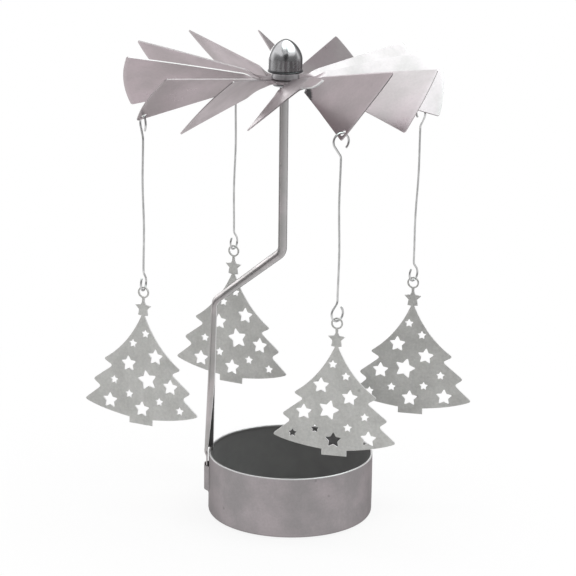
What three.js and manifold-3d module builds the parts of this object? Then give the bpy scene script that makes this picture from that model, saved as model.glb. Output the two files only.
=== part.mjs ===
// Candle carousel: a tealight pan, a bent channel post with a needle pivot, and a twelve-blade
// fan wheel under a bell cap. Four wire hooks hang pierced fir-tree plates from the wheel.
// Millimetres, +Z up. The origin is the centre of the pan's underside. Seen from the front (-Y),
// the post stands at the left (-X) edge of the pan.

import * as THREE from 'three';
import { mergeVertices } from 'three/addons/utils/BufferGeometryUtils.js';
import Module from 'manifold-3d';

const wasm = await Module();
wasm.setup();

// Running and seating clearance between pieces that touch, overrun of every cut, weld distance
const clearance = 0.3;
const overrun = 1;
const weldDistance = 1e-5;

// Pan for one tealight
const panRadius = 27.5;
const panHeight = 20.8;
const panWall = 0.4;
const panEdgeRadius = 1.4;
const hemWall = 0.6;
const hemHeight = 0.9;
const panSides = 64;

// Pocket pressed out of the pan's wall for the post's tongue
const pocketSheet = 0.4;
const pocketTopZ = 15.9;
const pocketHeight = 8;
const pocketTaper = 1.4;

// Fan wheel: one sheet, slit into blades that are twisted about their own centre lines
const wheelOffsetX = -3;
const wheelZ = 147.6;
const wheelSheet = 0.4;
const hubSheet = 0.5;
const hubRadius = 7.4;
const wheelRadius = 51;
const bladeRootRadius = 13.6;
const bladeCorner = 0.5;
const freeRootShare = 0.65;
const bladeSlit = 0.6;
const neckLip = 0.3;
const neckOverlap = 1.2;
const firstBladeAzimuth = 270.8;
// Twist, lift and sideways turn of each blade in degrees, anticlockwise from the front one:
// they are bent by hand, so no two are alike
const bladeTwists = [38.8, 45.9, 37.5, 42.4, 47, 45, 45.9, 47.7, 40, 45.8, 39.3, 44.3];
const bladeLifts = [3.2, 0.5, -1.4, -0.4, -4.6, -5.6, -3.6, -1.6, 1.1, -1, -2.5, -0.7];
const bladeTurns = [-1.9, 0.2, -0.5, -0.2, -0.9, -1, -0.7, -0.5, 0.7, -0.3, 0.7, -0.1];

// Hook holes near the low outer corners
const hookHoleRadius = 1.1;
const hookHoleFromTip = 1.7;
const hookHoleFromEdge = 1.55;
const holeSides = 20;

// Bell cap on the needle's point
const capRadius = 5.45;
const capWall = 0.6;
const capHeight = 10.6;
const capShoulder = 6.4;
const capLip = 0.3;
const capLipHeight = 0.5;
const capPower = 1.7;

// Hub: flanged bush through the wheel, clinched under a washer
const bushBore = 2.4;
const bushNeckRadius = 3.2;
const collarHeight = 3.2;
const collarOverlap = 1;
const flareRadius = 4;
const flareHeight = 0.5;
const washerRadius = 4.7;
const washerHeight = 1;
const hubGap = 0.12;
const hubSides = 32;

// Channel post: folded strip, web on the outside, open towards the flame
const postSheet = 0.5;
const postWidth = 5;
const postDrop = 0.8;
const kneeHighZ = 90.4;
const kneeLowZ = 73.4;
const kneeInset = 1;
const bendRadius = 2.4;
// Depth of the flanges at the foot, at the knees and along the top
const flangeFoot = 2.9;
const flangeKneeLow = 1.75;
const flangeKneeHigh = 2.35;
const flangeTop = 2.9;
const needleSetback = 1.8;
// The front flange is trimmed back to this depth over a share of the lower leg
const trimmedFoot = 1.4;
const trimShare = 0.4;

// Tongue of the web, jogged in to the pan's pocket, and the prong inside the rim
const tongueSheet = 0.4;
const tongueWidth = 4;
const tongueReach = 6.4;
const joggleHeight = 2;
const joggleReach = 0.6;
const prongDrop = 1.5;

// Needle pivot, riveted to the post's top tab
const needleRadius = 0.6;
const needlePoint = 1.8;
const needlePointRadius = 0.12;
const needleShoulderRadius = 1.1;
const needleShoulder = 0.5;
const needleSides = 24;

// Wire hooks: a C at each end of a straight shank
const wireRadius = 0.35;
const wireSides = 8;
const hookSpan = 54.8;
const upperBend = 2.7;
const upperKnee = 4.7;
const lowerBend = 2.4;
const lowerKnee = 3.5;
const hookTipAngle = 138;
const holeAngle = 14;

// Fir-tree plates, hung by a ring above the star on their tips
const treeSheet = 0.5;
const treeHalfWidth = 20.4;
const treeHeight = 36.5;
const ringRadius = 1.95;
const ringHoleRadius = 1.4;
const stemHalfWidth = 0.45;
const stemLength = 0.37;
const topStar = 2.94;
const smallStar = 1.55;
const mediumStar = 2.9;
const largeStar = 3.7;
const starInnerShare = 0.5;
const treeCorner = 1.1;

// Hangers: blade that carries each, its share of the span, and how far the wire's lower end
// sways along X as a share of the span. The headings of the upper and lower bends (from the
// bulge to the tip) and of the plate's front, and the plate's lean, are in degrees. The plates
// differ a little in size, given as shares of the drawn one.
const hangers = [
  {
    blade: 10, spanShare: 0.962, swayShare: -0.001,
    upper: -68, lower: -107, plate: 157.5, lean: 1.5, sizeShare: 1.01,
  },
  {
    blade: 7, spanShare: 1, swayShare: -0.007,
    upper: 208, lower: 243, plate: 154.5, lean: 1, sizeShare: 1.07,
  },
  {
    blade: 1, spanShare: 1.005, swayShare: -0.006,
    upper: 30, lower: 42, plate: -11.5, lean: -0.5, sizeShare: 0.98,
  },
  {
    blade: 4, spanShare: 1.01, swayShare: -0.019,
    upper: 121, lower: 235, plate: -13.5, lean: 0, sizeShare: 1.035,
  },
];

const steel = new THREE.MeshStandardMaterial({ color: 0x999394, roughness: 0.38, metalness: 1 });
const bladeSteel = new THREE.MeshStandardMaterial({ color: 0xada6a8, roughness: 0.34, metalness: 1 });
const plateSteel = new THREE.MeshStandardMaterial({ color: 0xa6a7a5, roughness: 0.5, metalness: 1 });
const wireSteel = new THREE.MeshStandardMaterial({ color: 0xa8a8a8, roughness: 0.3, metalness: 1 });
const chrome = new THREE.MeshStandardMaterial({ color: 0xd8d8da, roughness: 0.08, metalness: 1 });

const bladeCount = bladeTwists.length;
const pitch = 2 * Math.PI / bladeCount;
const radians = THREE.MathUtils.degToRad;
const up = new THREE.Vector3(0, 0, 1);
const carousel = new THREE.Group();

// Closed mesh to solid and back, for joins and cuts
function toSolid(geometry) {
  const bare = geometry.clone();
  bare.deleteAttribute('normal');
  bare.deleteAttribute('uv');
  const merged = mergeVertices(bare, weldDistance);
  const vertProperties = new Float32Array(merged.attributes.position.array);
  const triVerts = new Uint32Array(merged.index.array);
  return new wasm.Manifold(new wasm.Mesh({ numProp: 3, vertProperties, triVerts }));
}

function toGeometry(solid) {
  const mesh = solid.getMesh();
  const geometry = new THREE.BufferGeometry();
  geometry.setAttribute('position', new THREE.BufferAttribute(mesh.vertProperties, 3));
  geometry.setIndex(new THREE.BufferAttribute(mesh.triVerts, 1));
  return geometry;
}

function addPiece(name, geometry, material, place = new THREE.Vector3()) {
  const smooth = geometry.index ? geometry.toNonIndexed() : geometry;
  smooth.computeVertexNormals();
  const mesh = new THREE.Mesh(smooth, material);
  mesh.name = name;
  mesh.position.copy(place);
  carousel.add(mesh);
  return mesh;
}

// Turned body about the Z axis from [radius, height] points
function turned(points, sides) {
  const profile = points.map(([radius, height]) => new THREE.Vector2(radius, height));
  return new THREE.LatheGeometry(profile, sides).rotateX(Math.PI / 2);
}

// Flat outline in the X-Z plane, extruded to a width centred on Y = 0
function uprightPlate(outline, width) {
  const shape = new THREE.Shape(outline);
  const plate = new THREE.ExtrudeGeometry(shape, { depth: width, bevelEnabled: false });
  return plate.translate(0, 0, -width / 2).rotateX(Math.PI / 2);
}

function block(lowX, highX, width, lowZ, highZ) {
  const box = new THREE.BoxGeometry(highX - lowX, width, highZ - lowZ);
  return box.translate((lowX + highX) / 2, 0, (lowZ + highZ) / 2);
}

// Arc of a profile, from one angle to another, as [x, y] points
function arcPoints(centreX, centreY, radius, fromAngle, toAngle, steps) {
  const points = [];
  for (let step = 0; step <= steps; step += 1) {
    const angle = THREE.MathUtils.lerp(fromAngle, toAngle, step / steps);
    points.push([centreX + radius * Math.cos(angle), centreY + radius * Math.sin(angle)]);
  }
  return points;
}

// Pan: turned cup with a hemmed rim, and the pocket for the post's tongue
const wallX = -panRadius;
const tongueInnerX = wallX - clearance;
const tongueOuterX = tongueInnerX - tongueSheet;
const tongueBottomZ = pocketTopZ - tongueReach;
const pocketInnerX = tongueOuterX - clearance;
const pocketOuterX = pocketInnerX - pocketSheet;
const pocketSlotWidth = tongueWidth + 2 * clearance;
const pocketBottomZ = pocketTopZ - pocketHeight;

function cup() {
  const innerRadius = panRadius - panWall;
  const hemRadius = panRadius - hemWall;
  const hemZ = panHeight - hemHeight;
  const edgeX = panRadius - panEdgeRadius;
  const outerEdge = arcPoints(edgeX, panEdgeRadius, panEdgeRadius, -Math.PI / 2, 0, 4);
  const innerEdge = arcPoints(edgeX, panEdgeRadius, panEdgeRadius - panWall, 0, -Math.PI / 2, 3);
  const hem = [[panRadius, panHeight], [hemRadius, panHeight], [hemRadius, hemZ]];
  const step = [innerRadius, hemZ - (hemWall - panWall)];
  return turned([[0, 0], ...outerEdge, ...hem, step, ...innerEdge, [0, panWall]], panSides);
}

function candlePan() {
  const rootX = wallX + panWall / 2;
  const shellOutline = [
    new THREE.Vector2(rootX, pocketTopZ),
    new THREE.Vector2(pocketOuterX, pocketTopZ),
    new THREE.Vector2(pocketOuterX, pocketBottomZ),
    new THREE.Vector2(rootX, pocketBottomZ - pocketTaper),
  ];
  const shell = toSolid(uprightPlate(shellOutline, pocketSlotWidth + 2 * pocketSheet));
  const slotBottomZ = tongueBottomZ - clearance;
  const slot = toSolid(block(pocketInnerX, wallX, pocketSlotWidth, slotBottomZ, pocketTopZ + overrun));
  const insideX = wallX + panWall + overrun;
  const opening = toSolid(block(pocketInnerX, insideX, pocketSlotWidth, slotBottomZ, pocketTopZ));
  return toSolid(cup()).add(shell).subtract(slot).subtract(opening);
}

addPiece('candle_pan', toGeometry(candlePan()), steel);

// Run of corners moved sideways: each leg goes out by its own two depths, to its right-hand side
function movedRun(run, depths) {
  const legs = depths.map(([near, far], i) => {
    const along = run[i + 1].clone().sub(run[i]).normalize();
    const right = new THREE.Vector2(along.y, -along.x);
    const start = run[i].clone().addScaledVector(right, near);
    const end = run[i + 1].clone().addScaledVector(right, far);
    return { start, end, along: end.clone().sub(start).normalize() };
  });
  const corners = legs.slice(1).map((leg, i) => {
    const before = legs[i];
    const gap = leg.start.clone().sub(before.start);
    const reach = gap.cross(leg.along) / before.along.cross(leg.along);
    return before.start.clone().addScaledVector(before.along, reach);
  });
  return [legs[0].start, ...corners, legs.at(-1).end];
}

// Same run with each inner corner rounded to its own radius
function roundedRun(run, radii) {
  const steps = 5;
  const points = [run[0]];
  radii.forEach((radius, i) => {
    const before = run[i + 1].clone().sub(run[i]).normalize();
    const after = run[i + 2].clone().sub(run[i + 1]).normalize();
    const side = Math.sign(before.cross(after));
    const halfTurn = Math.asin(Math.abs(before.cross(after))) / 2;
    const inward = after.clone().sub(before).normalize();
    const centre = run[i + 1].clone().addScaledVector(inward, radius / Math.cos(halfTurn));
    const start = new THREE.Vector2(before.y, -before.x).multiplyScalar(side).angle();
    for (let step = 0; step <= steps; step += 1) {
      const angle = start + side * 2 * halfTurn * step / steps;
      points.push(new THREE.Vector2(Math.cos(angle), Math.sin(angle)).multiplyScalar(radius).add(centre));
    }
  });
  return [...points, run.at(-1)];
}

// Post: the web's outer face runs up from the foot, over both knees, to the top tab
const discTopZ = wheelZ + hubSheet / 2;
const discBottomZ = wheelZ - hubSheet / 2;
const washerTopZ = discBottomZ - hubGap;
const washerBottomZ = washerTopZ - washerHeight;
const flareTopZ = washerBottomZ - hubGap;
const flareBottomZ = flareTopZ - flareHeight;
const postTopZ = flareBottomZ - postDrop;
const footX = tongueOuterX - joggleReach;
const footZ = panHeight + clearance;
const topX = wheelOffsetX - needleSetback;

function channelPost() {
  const run = [
    new THREE.Vector2(footX, footZ),
    new THREE.Vector2(wallX + kneeInset, kneeLowZ),
    new THREE.Vector2(topX, kneeHighZ),
    new THREE.Vector2(topX, postTopZ),
  ];
  const even = (depth) => [[depth, depth], [depth, depth], [depth, depth]];
  const flanges = [[flangeFoot, flangeKneeLow], [flangeKneeLow, flangeKneeHigh], [flangeTop, flangeTop]];
  const lowWebRadius = bendRadius + flangeKneeLow;
  const highEdgeRadius = bendRadius + flangeKneeHigh;
  const face = roundedRun(run, [lowWebRadius, bendRadius]);
  const edgeRun = movedRun(run, flanges);
  const edge = roundedRun(edgeRun, [bendRadius, highEdgeRadius]);
  const insideRadii = [lowWebRadius - postSheet, bendRadius + postSheet];
  const inside = roundedRun(movedRun(run, even(postSheet)), insideRadii);
  const beyond = movedRun(run, even(Math.max(flangeFoot, flangeTop) + overrun));
  const body = toSolid(uprightPlate([...face, ...edge.reverse()], postWidth));
  const trimmed = (line) => {
    const low = line[0].clone().setY(footZ - overrun);
    const high = line.at(-1).clone().setY(postTopZ - postSheet);
    return [low, ...line.slice(1, -1), high];
  };
  const cavity = [...trimmed(inside), ...trimmed(beyond).reverse()];
  const hollow = toSolid(uprightPlate(cavity, postWidth - 2 * postSheet));
  const pinHole = new THREE.CylinderGeometry(1, 1, 1, needleSides).rotateX(Math.PI / 2);
  pinHole.scale(needleRadius + hubGap, needleRadius + hubGap, 2 * postSheet + overrun);
  pinHole.translate(wheelOffsetX, 0, postTopZ);
  const channel = body.subtract(hollow).subtract(toSolid(pinHole)).subtract(flangeTrim(edgeRun));
  return channel.add(footTongue()).add(footProng());
}

// Cut that narrows the front flange towards the foot
function flangeTrim([edgeFoot, edgeKnee]) {
  const top = edgeFoot.clone().lerp(edgeKnee, trimShare);
  const outline = [
    top,
    new THREE.Vector2(footX + trimmedFoot, footZ - overrun),
    new THREE.Vector2(edgeFoot.x + overrun, footZ - overrun),
    top.clone().setX(edgeFoot.x + overrun),
  ];
  return toSolid(uprightPlate(outline, 2 * postSheet).translate(0, -postWidth / 2, 0));
}

function footTongue() {
  const outline = [
    new THREE.Vector2(footX, footZ + postSheet),
    new THREE.Vector2(footX, footZ - postSheet),
    new THREE.Vector2(tongueOuterX, footZ - joggleHeight),
    new THREE.Vector2(tongueOuterX, tongueBottomZ),
    new THREE.Vector2(tongueInnerX, tongueBottomZ),
    new THREE.Vector2(tongueInnerX, footZ - joggleHeight + postSheet),
    new THREE.Vector2(footX + postSheet, footZ),
    new THREE.Vector2(footX + postSheet, footZ + postSheet),
  ];
  return toSolid(uprightPlate(outline, tongueWidth));
}

// The rear flange ends in a small prong inside the rim
function footProng() {
  const prongOuterX = wallX + hemWall + clearance;
  const prongInnerX = footX + flangeFoot - hubGap;
  const outline = [
    new THREE.Vector2(prongOuterX, footZ + postSheet),
    new THREE.Vector2(prongOuterX, footZ - prongDrop + postSheet),
    new THREE.Vector2((prongOuterX + prongInnerX) / 2, footZ - prongDrop),
    new THREE.Vector2(prongInnerX, footZ - prongDrop + postSheet),
    new THREE.Vector2(prongInnerX, footZ + postSheet),
  ];
  return toSolid(uprightPlate(outline, postSheet).translate(0, (postWidth - postSheet) / 2, 0));
}

addPiece('post', toGeometry(channelPost()), steel);

// Levels of the hub and of the cap above it
const collarBottomZ = discTopZ + hubGap;
const collarTopZ = collarBottomZ + collarHeight;
const capBottomZ = collarTopZ - collarOverlap;
const capTopZ = capBottomZ + capHeight;
const collarRadius = capRadius - capWall - clearance;
const axis = new THREE.Vector3(wheelOffsetX, 0, 0);

// Needle: rivet head under the tab, shoulder on it, and a point that carries the cap
function pivotNeedle() {
  const headTopZ = postTopZ - postSheet - hubGap;
  const shoulderZ = postTopZ + hubGap;
  const tipZ = capTopZ - capWall - clearance;
  const profile = [
    [0, headTopZ - needleShoulder],
    [needleShoulderRadius, headTopZ - needleShoulder],
    [needleShoulderRadius, headTopZ],
    [needleRadius, headTopZ],
    [needleRadius, shoulderZ],
    [needleShoulderRadius, shoulderZ],
    [needleShoulderRadius, shoulderZ + needleShoulder / 2],
    [needleRadius, shoulderZ + needleShoulder],
    [needleRadius, tipZ - needlePoint],
    [needlePointRadius, tipZ],
    [0, tipZ],
  ];
  return turned(profile, needleSides);
}

addPiece('pivot_needle', pivotNeedle(), chrome, axis);

// Frame of one blade: its radial, across (towards its raised edge) and upward directions
function bladeFrame(index) {
  const azimuth = radians(firstBladeAzimuth + bladeTurns[index]) + pitch * index;
  const lift = radians(bladeLifts[index]);
  const flat = new THREE.Vector3(Math.cos(azimuth), Math.sin(azimuth), 0);
  const along = flat.clone().multiplyScalar(Math.cos(lift)).addScaledVector(up, Math.sin(lift));
  const across = new THREE.Vector3().crossVectors(up, flat);
  const rise = new THREE.Vector3().crossVectors(along, across);
  return { flat, along, across, rise, twist: radians(bladeTwists[index]) };
}

// Point of a blade at a distance along its centre line, across it, and off its middle surface
function bladePoint(frame, distance, across, off) {
  const twist = frame.twist * THREE.MathUtils.smoothstep(distance, hubRadius, bladeRootRadius);
  const lateral = frame.across.clone().multiplyScalar(Math.cos(twist));
  lateral.addScaledVector(frame.rise, Math.sin(twist));
  const normal = new THREE.Vector3().crossVectors(frame.along, lateral);
  const inner = Math.min(distance, hubRadius);
  const point = frame.flat.clone().multiplyScalar(inner).addScaledVector(frame.along, distance - inner);
  return point.addScaledVector(lateral, across).addScaledVector(normal, off);
}

// Half width of a blade's sector at a distance from the axis, less half a slit
function sectorHalf(distance) {
  return distance * Math.tan(pitch / 2) - bladeSlit / 2;
}

// Places across a blade as shares of its half width: the outermost step makes the round corner
const acrossShares = [-1, -0.95, -0.5, 0, 0.5, 0.95, 1];

// One blade with its neck: a grid box whose rows run from the hub to the tip's arc. The neck
// is on the raised half only, because a slit frees the other half up to the blade's root, where
// the free half is cut back to a share of its width.
function blade(index) {
  const frame = bladeFrame(index);
  const neckSteps = 6;
  const bladeSteps = 3;
  const steps = neckSteps + 1 + bladeSteps;
  const tipAngle = Math.asin(sectorHalf(wheelRadius) / wheelRadius);
  const rootDistance = bladeRootRadius + wheelSheet / 2;
  const grid = new THREE.BoxGeometry(1, 1, 1, steps, acrossShares.length - 1, 1);
  const position = grid.attributes.position;
  for (let i = 0; i < position.count; i += 1) {
    const row = Math.round((position.getX(i) + 0.5) * steps);
    const column = Math.round((position.getY(i) + 0.5) * (acrossShares.length - 1));
    const share = acrossShares[column];
    let distance = THREE.MathUtils.lerp(hubRadius - neckOverlap, bladeRootRadius, row / neckSteps);
    let across = THREE.MathUtils.lerp(-neckLip, sectorHalf(distance), (share + 1) / 2);
    if (row > neckSteps) {
      const along = (row - neckSteps - 1) / bladeSteps;
      const root = rootDistance + (share === -1 ? bladeCorner : 0);
      const tip = wheelRadius * Math.cos(share * tipAngle) - (Math.abs(share) === 1 ? bladeCorner : 0);
      distance = THREE.MathUtils.lerp(root, tip, along);
      const rootHalf = sectorHalf(rootDistance) * (share < 0 ? freeRootShare : 1);
      across = THREE.MathUtils.lerp(share * rootHalf, wheelRadius * Math.sin(share * tipAngle), along);
    }
    const point = bladePoint(frame, distance, across, position.getZ(i) * wheelSheet);
    position.setXYZ(i, point.x, point.y, point.z);
  }
  return toSolid(grid);
}

// Place of a blade's hook hole, and the direction through the sheet there
function hookHole(index) {
  const frame = bladeFrame(index);
  const distance = (wheelRadius - hookHoleFromTip) * Math.cos(pitch / 2);
  const across = hookHoleFromEdge + bladeSlit / 2 - distance * Math.tan(pitch / 2);
  const centre = bladePoint(frame, distance, across, 0);
  const normal = bladePoint(frame, distance, across, 1).sub(centre);
  return { centre, normal };
}

function fanWheel() {
  const boreRadius = bushNeckRadius + clearance;
  const disc = turned([
    [boreRadius, -hubSheet / 2],
    [hubRadius, -hubSheet / 2],
    [hubRadius, hubSheet / 2],
    [boreRadius, hubSheet / 2],
    [boreRadius, -hubSheet / 2],
  ], hubSides);
  let wheel = toSolid(disc);
  for (let index = 0; index < bladeCount; index += 1) {
    wheel = wheel.add(blade(index));
  }
  for (const { blade: index } of hangers) {
    const { centre, normal } = hookHole(index);
    const drill = new THREE.CylinderGeometry(hookHoleRadius, hookHoleRadius, wheelSheet + overrun, holeSides);
    drill.applyQuaternion(new THREE.Quaternion().setFromUnitVectors(new THREE.Vector3(0, 1, 0), normal));
    drill.translate(centre.x, centre.y, centre.z);
    wheel = wheel.subtract(toSolid(drill));
  }
  return wheel;
}

const hub = new THREE.Vector3(wheelOffsetX, 0, wheelZ);
addPiece('fan_wheel', toGeometry(fanWheel()), bladeSteel, hub);

// Hub bush: collar on the wheel, neck through it, and a flare that clinches the washer
function hubBush() {
  return turned([
    [bushBore, flareBottomZ],
    [flareRadius, flareBottomZ],
    [flareRadius, flareTopZ],
    [bushNeckRadius, flareTopZ],
    [bushNeckRadius, collarBottomZ],
    [collarRadius, collarBottomZ],
    [collarRadius, collarTopZ],
    [bushBore, collarTopZ],
    [bushBore, flareBottomZ],
  ], hubSides);
}

function hubWasher() {
  return turned([
    [bushNeckRadius + hubGap, washerBottomZ],
    [washerRadius, washerBottomZ],
    [washerRadius, washerTopZ],
    [bushNeckRadius + hubGap, washerTopZ],
    [bushNeckRadius + hubGap, washerBottomZ],
  ], hubSides);
}

addPiece('hub_bush', hubBush(), chrome, axis);
addPiece('hub_washer', hubWasher(), steel, axis);

// Quarter of a superellipse, from the skirt up to the point of the dome
function domeArc(radius, height, baseZ) {
  const steps = 9;
  const points = [];
  for (let step = 0; step <= steps; step += 1) {
    const angle = Math.PI / 2 * step / steps;
    const reach = step === steps ? 0 : Math.cos(angle) ** (2 / capPower);
    const rise = Math.sin(angle) ** (2 / capPower);
    points.push([radius * reach, baseZ + height * rise]);
  }
  return points;
}

// Bell cap: straight skirt with a lip, closed by a slightly pointed dome
function bellCap() {
  const shoulderZ = capTopZ - capShoulder;
  const lipRadius = capRadius + capLip;
  const outside = domeArc(capRadius, capShoulder, shoulderZ);
  const inside = domeArc(capRadius - capWall, capShoulder - capWall, shoulderZ).reverse();
  return turned([
    ...inside,
    [capRadius - capWall, capBottomZ],
    [lipRadius, capBottomZ],
    [lipRadius, capBottomZ + capLipHeight / 2],
    [capRadius, capBottomZ + capLipHeight],
    ...outside,
  ], hubSides);
}

addPiece('dome_cap', bellCap(), chrome, axis);

// Wire run through hand-set stations: the sweep has one ring of its section at each station
class WireRun extends THREE.Curve {
  constructor(stations) {
    super();
    this.stations = stations;
  }

  getPoint(share, target = new THREE.Vector3()) {
    const place = share * (this.stations.length - 1);
    const low = Math.min(Math.floor(place), this.stations.length - 2);
    return target.lerpVectors(this.stations[low], this.stations[low + 1], place - low);
  }

  getPointAt(share, target) {
    return this.getPoint(share, target);
  }

  getTangentAt(share, target = new THREE.Vector3()) {
    const place = Math.round(share * (this.stations.length - 1));
    const before = this.stations[Math.max(place - 1, 0)];
    const after = this.stations[Math.min(place + 1, this.stations.length - 1)];
    return target.subVectors(after, before).normalize();
  }
}

// Stations of one C-bend about its centre. Angles run from the pole (the far end of the bend)
// towards the tip; the bend leaves its bulge along the tangent to the knee on the shank.
function bendStations(centre, heading, pole, radius, knee) {
  const side = new THREE.Vector3(Math.cos(heading), Math.sin(heading), 0);
  const place = (angle) => centre.clone()
    .addScaledVector(side, radius * Math.sin(angle))
    .addScaledVector(pole, radius * Math.cos(angle));
  const leaving = Math.acos(radius / knee) - Math.PI;
  const steps = 15;
  const stations = [];
  for (let step = 0; step <= steps; step += 1) {
    stations.push(place(THREE.MathUtils.lerp(radians(hookTipAngle), leaving, step / steps)));
  }
  const turn = centre.clone().addScaledVector(pole, -knee);
  const slack = 2 * wireRadius;
  const back = stations.at(-1).clone().sub(turn).setLength(slack);
  stations.push(turn.clone().add(back));
  stations.push(turn.clone().addScaledVector(pole, -slack));
  return stations;
}

// Hook of one hanger: where its bends are centred, and where its plate hangs
function hangerPlaces(hanger) {
  const { centre: hole } = hookHole(hanger.blade);
  const heading = radians(hanger.upper);
  const side = new THREE.Vector3(Math.cos(heading), Math.sin(heading), 0);
  const upper = hole.clone().add(hub)
    .addScaledVector(side, -upperBend * Math.sin(radians(holeAngle)))
    .addScaledVector(up, -upperBend * Math.cos(radians(holeAngle)));
  const lower = upper.clone().addScaledVector(up, -hookSpan * hanger.spanShare);
  lower.x += hookSpan * hanger.swayShare;
  const seat = lower.clone().addScaledVector(up, -lowerBend);
  const ring = seat.clone().addScaledVector(up, wireRadius + clearance - ringHoleRadius);
  return { upper, lower, seat, ring };
}

function wireHook(hanger) {
  const { upper, lower } = hangerPlaces(hanger);
  const down = up.clone().negate();
  const top = bendStations(upper, radians(hanger.upper), up, upperBend, upperKnee);
  const bottom = bendStations(lower, radians(hanger.lower), down, lowerBend, lowerKnee);
  const stations = [...top, ...bottom.reverse()];
  const section = new THREE.Shape();
  for (let corner = 0; corner < wireSides; corner += 1) {
    const angle = 2 * Math.PI * corner / wireSides;
    const point = [wireRadius * Math.cos(angle), wireRadius * Math.sin(angle)];
    if (corner === 0) {
      section.moveTo(...point);
    } else {
      section.lineTo(...point);
    }
  }
  section.closePath();
  const extrudePath = new WireRun(stations);
  return new THREE.ExtrudeGeometry(section, { steps: stations.length - 1, extrudePath });
}

// Five-pointed star as a closed list of points
function starPoints(centreX, centreY, radius, turn) {
  const points = [];
  for (let point = 0; point < 10; point += 1) {
    const reach = point % 2 === 0 ? radius : radius * starInnerShare;
    const angle = turn + Math.PI / 2 + Math.PI / 5 * point;
    points.push(new THREE.Vector2(centreX + reach * Math.cos(angle), centreY + reach * Math.sin(angle)));
  }
  return points;
}

// Tree outline, right half from the neck under the star to the trunk: [across, down] as shares
// of the half width and of the height, with the control point of the concave upper side
const neckShare = [0.026, -0.01];
const sideControlShare = [0.24, 0.27];
const tierShares = [
  [[0.675, 0.44], [0.51, 0.492]],
  [[0.855, 0.643], [0.71, 0.702]],
  [[1, 0.843]],
];
const hemControlShare = [0.69, 0.915];
const trunkShare = [0.2, 0.945];

// Stars cut through the plate: [across, down] as the same shares, with size and turn in degrees
const starShares = [
  { at: [-0.049, 0.153], radius: smallStar, turn: 0 },
  { at: [0.163, 0.257], radius: smallStar, turn: 0 },
  { at: [-0.231, 0.354], radius: mediumStar, turn: 0 },
  { at: [0.233, 0.45], radius: mediumStar, turn: -4 },
  { at: [-0.499, 0.612], radius: mediumStar, turn: 0 },
  { at: [-0.1, 0.578], radius: largeStar, turn: -14 },
  { at: [0.481, 0.622], radius: smallStar, turn: 0 },
  { at: [-0.315, 0.763], radius: smallStar, turn: 0 },
  { at: [0.212, 0.732], radius: smallStar, turn: 0 },
  { at: [-0.674, 0.818], radius: smallStar, turn: 0 },
  { at: [-0.015, 0.856], radius: mediumStar, turn: 0 },
  { at: [0.548, 0.82], radius: mediumStar, turn: 0 },
];

// The plate's own frame: origin at the ring's centre, +Y up, front towards +Z
function treePlate({ sizeShare }) {
  const apexY = -(ringRadius + stemLength + 2 * topStar);
  const at = ([across, down]) => new THREE.Vector2(across * treeHalfWidth, apexY - down * treeHeight);
  const half = treeHalf(apexY, at).getPoints(5);
  const mirrored = half.slice(1, -1).reverse().map(({ x, y }) => new THREE.Vector2(-x, y));
  const outline = new THREE.Shape([...half, ...mirrored].reverse());
  const eye = new THREE.Path();
  eye.absarc(0, 0, ringHoleRadius, 0, 2 * Math.PI, true);
  outline.holes.push(eye);
  for (const { at: place, radius, turn } of starShares) {
    const centre = at(place);
    outline.holes.push(new THREE.Path(starPoints(centre.x, centre.y, radius, radians(turn)).reverse()));
  }
  const sheet = { depth: treeSheet, bevelEnabled: false, curveSegments: 8 };
  const plate = new THREE.ExtrudeGeometry(outline, sheet);
  return plate.translate(0, 0, -treeSheet / 2).scale(sizeShare, sizeShare, 1);
}

// Right half of the outline, from the ring's top, down the stem and the star, to the trunk
function treeHalf(apexY, at) {
  const half = new THREE.Path();
  const lineTo = ({ x, y }) => half.lineTo(x, y);
  const curveTo = (control, end) => half.quadraticCurveTo(control.x, control.y, end.x, end.y);
  const near = (corner, other) => corner.clone().add(other.clone().sub(corner).setLength(treeCorner));
  const star = starPoints(0, apexY + topStar, topStar, 0);
  const spike = star[0].clone().lerp(star[9], stemHalfWidth / star[9].x);
  half.absarc(0, 0, ringRadius, Math.PI / 2, Math.asin(stemHalfWidth / ringRadius) - Math.PI / 2, true);
  lineTo(spike);
  star.slice(6).reverse().forEach(lineTo);
  lineTo(at(neckShare));
  const sideControl = at(sideControlShare);
  const hemControl = at(hemControlShare);
  const corners = tierShares.flat().map(at);
  corners.forEach((corner, i) => {
    const before = corners[i - 1] ?? sideControl;
    const after = corners[i + 1] ?? hemControl;
    if (i === 0) {
      curveTo(sideControl, near(corner, before));
    } else {
      lineTo(near(corner, before));
    }
    curveTo(corner, near(corner, after));
  });
  const trunk = at(trunkShare);
  const foot = at([0, 1]);
  curveTo(hemControl, trunk);
  half.lineTo(trunk.x, foot.y);
  lineTo(foot);
  return half;
}

hangers.forEach((hanger, index) => {
  addPiece(`hook_${index + 1}`, wireHook(hanger), wireSteel);
  const plate = treePlate(hanger).rotateZ(radians(hanger.lean)).rotateX(Math.PI / 2);
  plate.rotateZ(radians(hanger.plate));
  addPiece(`tree_${index + 1}`, plate, plateSteel, hangerPlaces(hanger).ring);
});

export default carousel;
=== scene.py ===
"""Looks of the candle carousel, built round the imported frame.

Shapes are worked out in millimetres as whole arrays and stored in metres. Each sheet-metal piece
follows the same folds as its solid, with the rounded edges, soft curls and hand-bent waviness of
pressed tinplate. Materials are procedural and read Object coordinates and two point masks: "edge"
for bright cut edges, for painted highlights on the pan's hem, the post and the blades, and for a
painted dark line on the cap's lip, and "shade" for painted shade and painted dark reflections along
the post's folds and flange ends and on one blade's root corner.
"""

import math
from collections import namedtuple
from functools import reduce

import bmesh
import bpy
import numpy as np
from mathutils import Matrix, Vector


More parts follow.
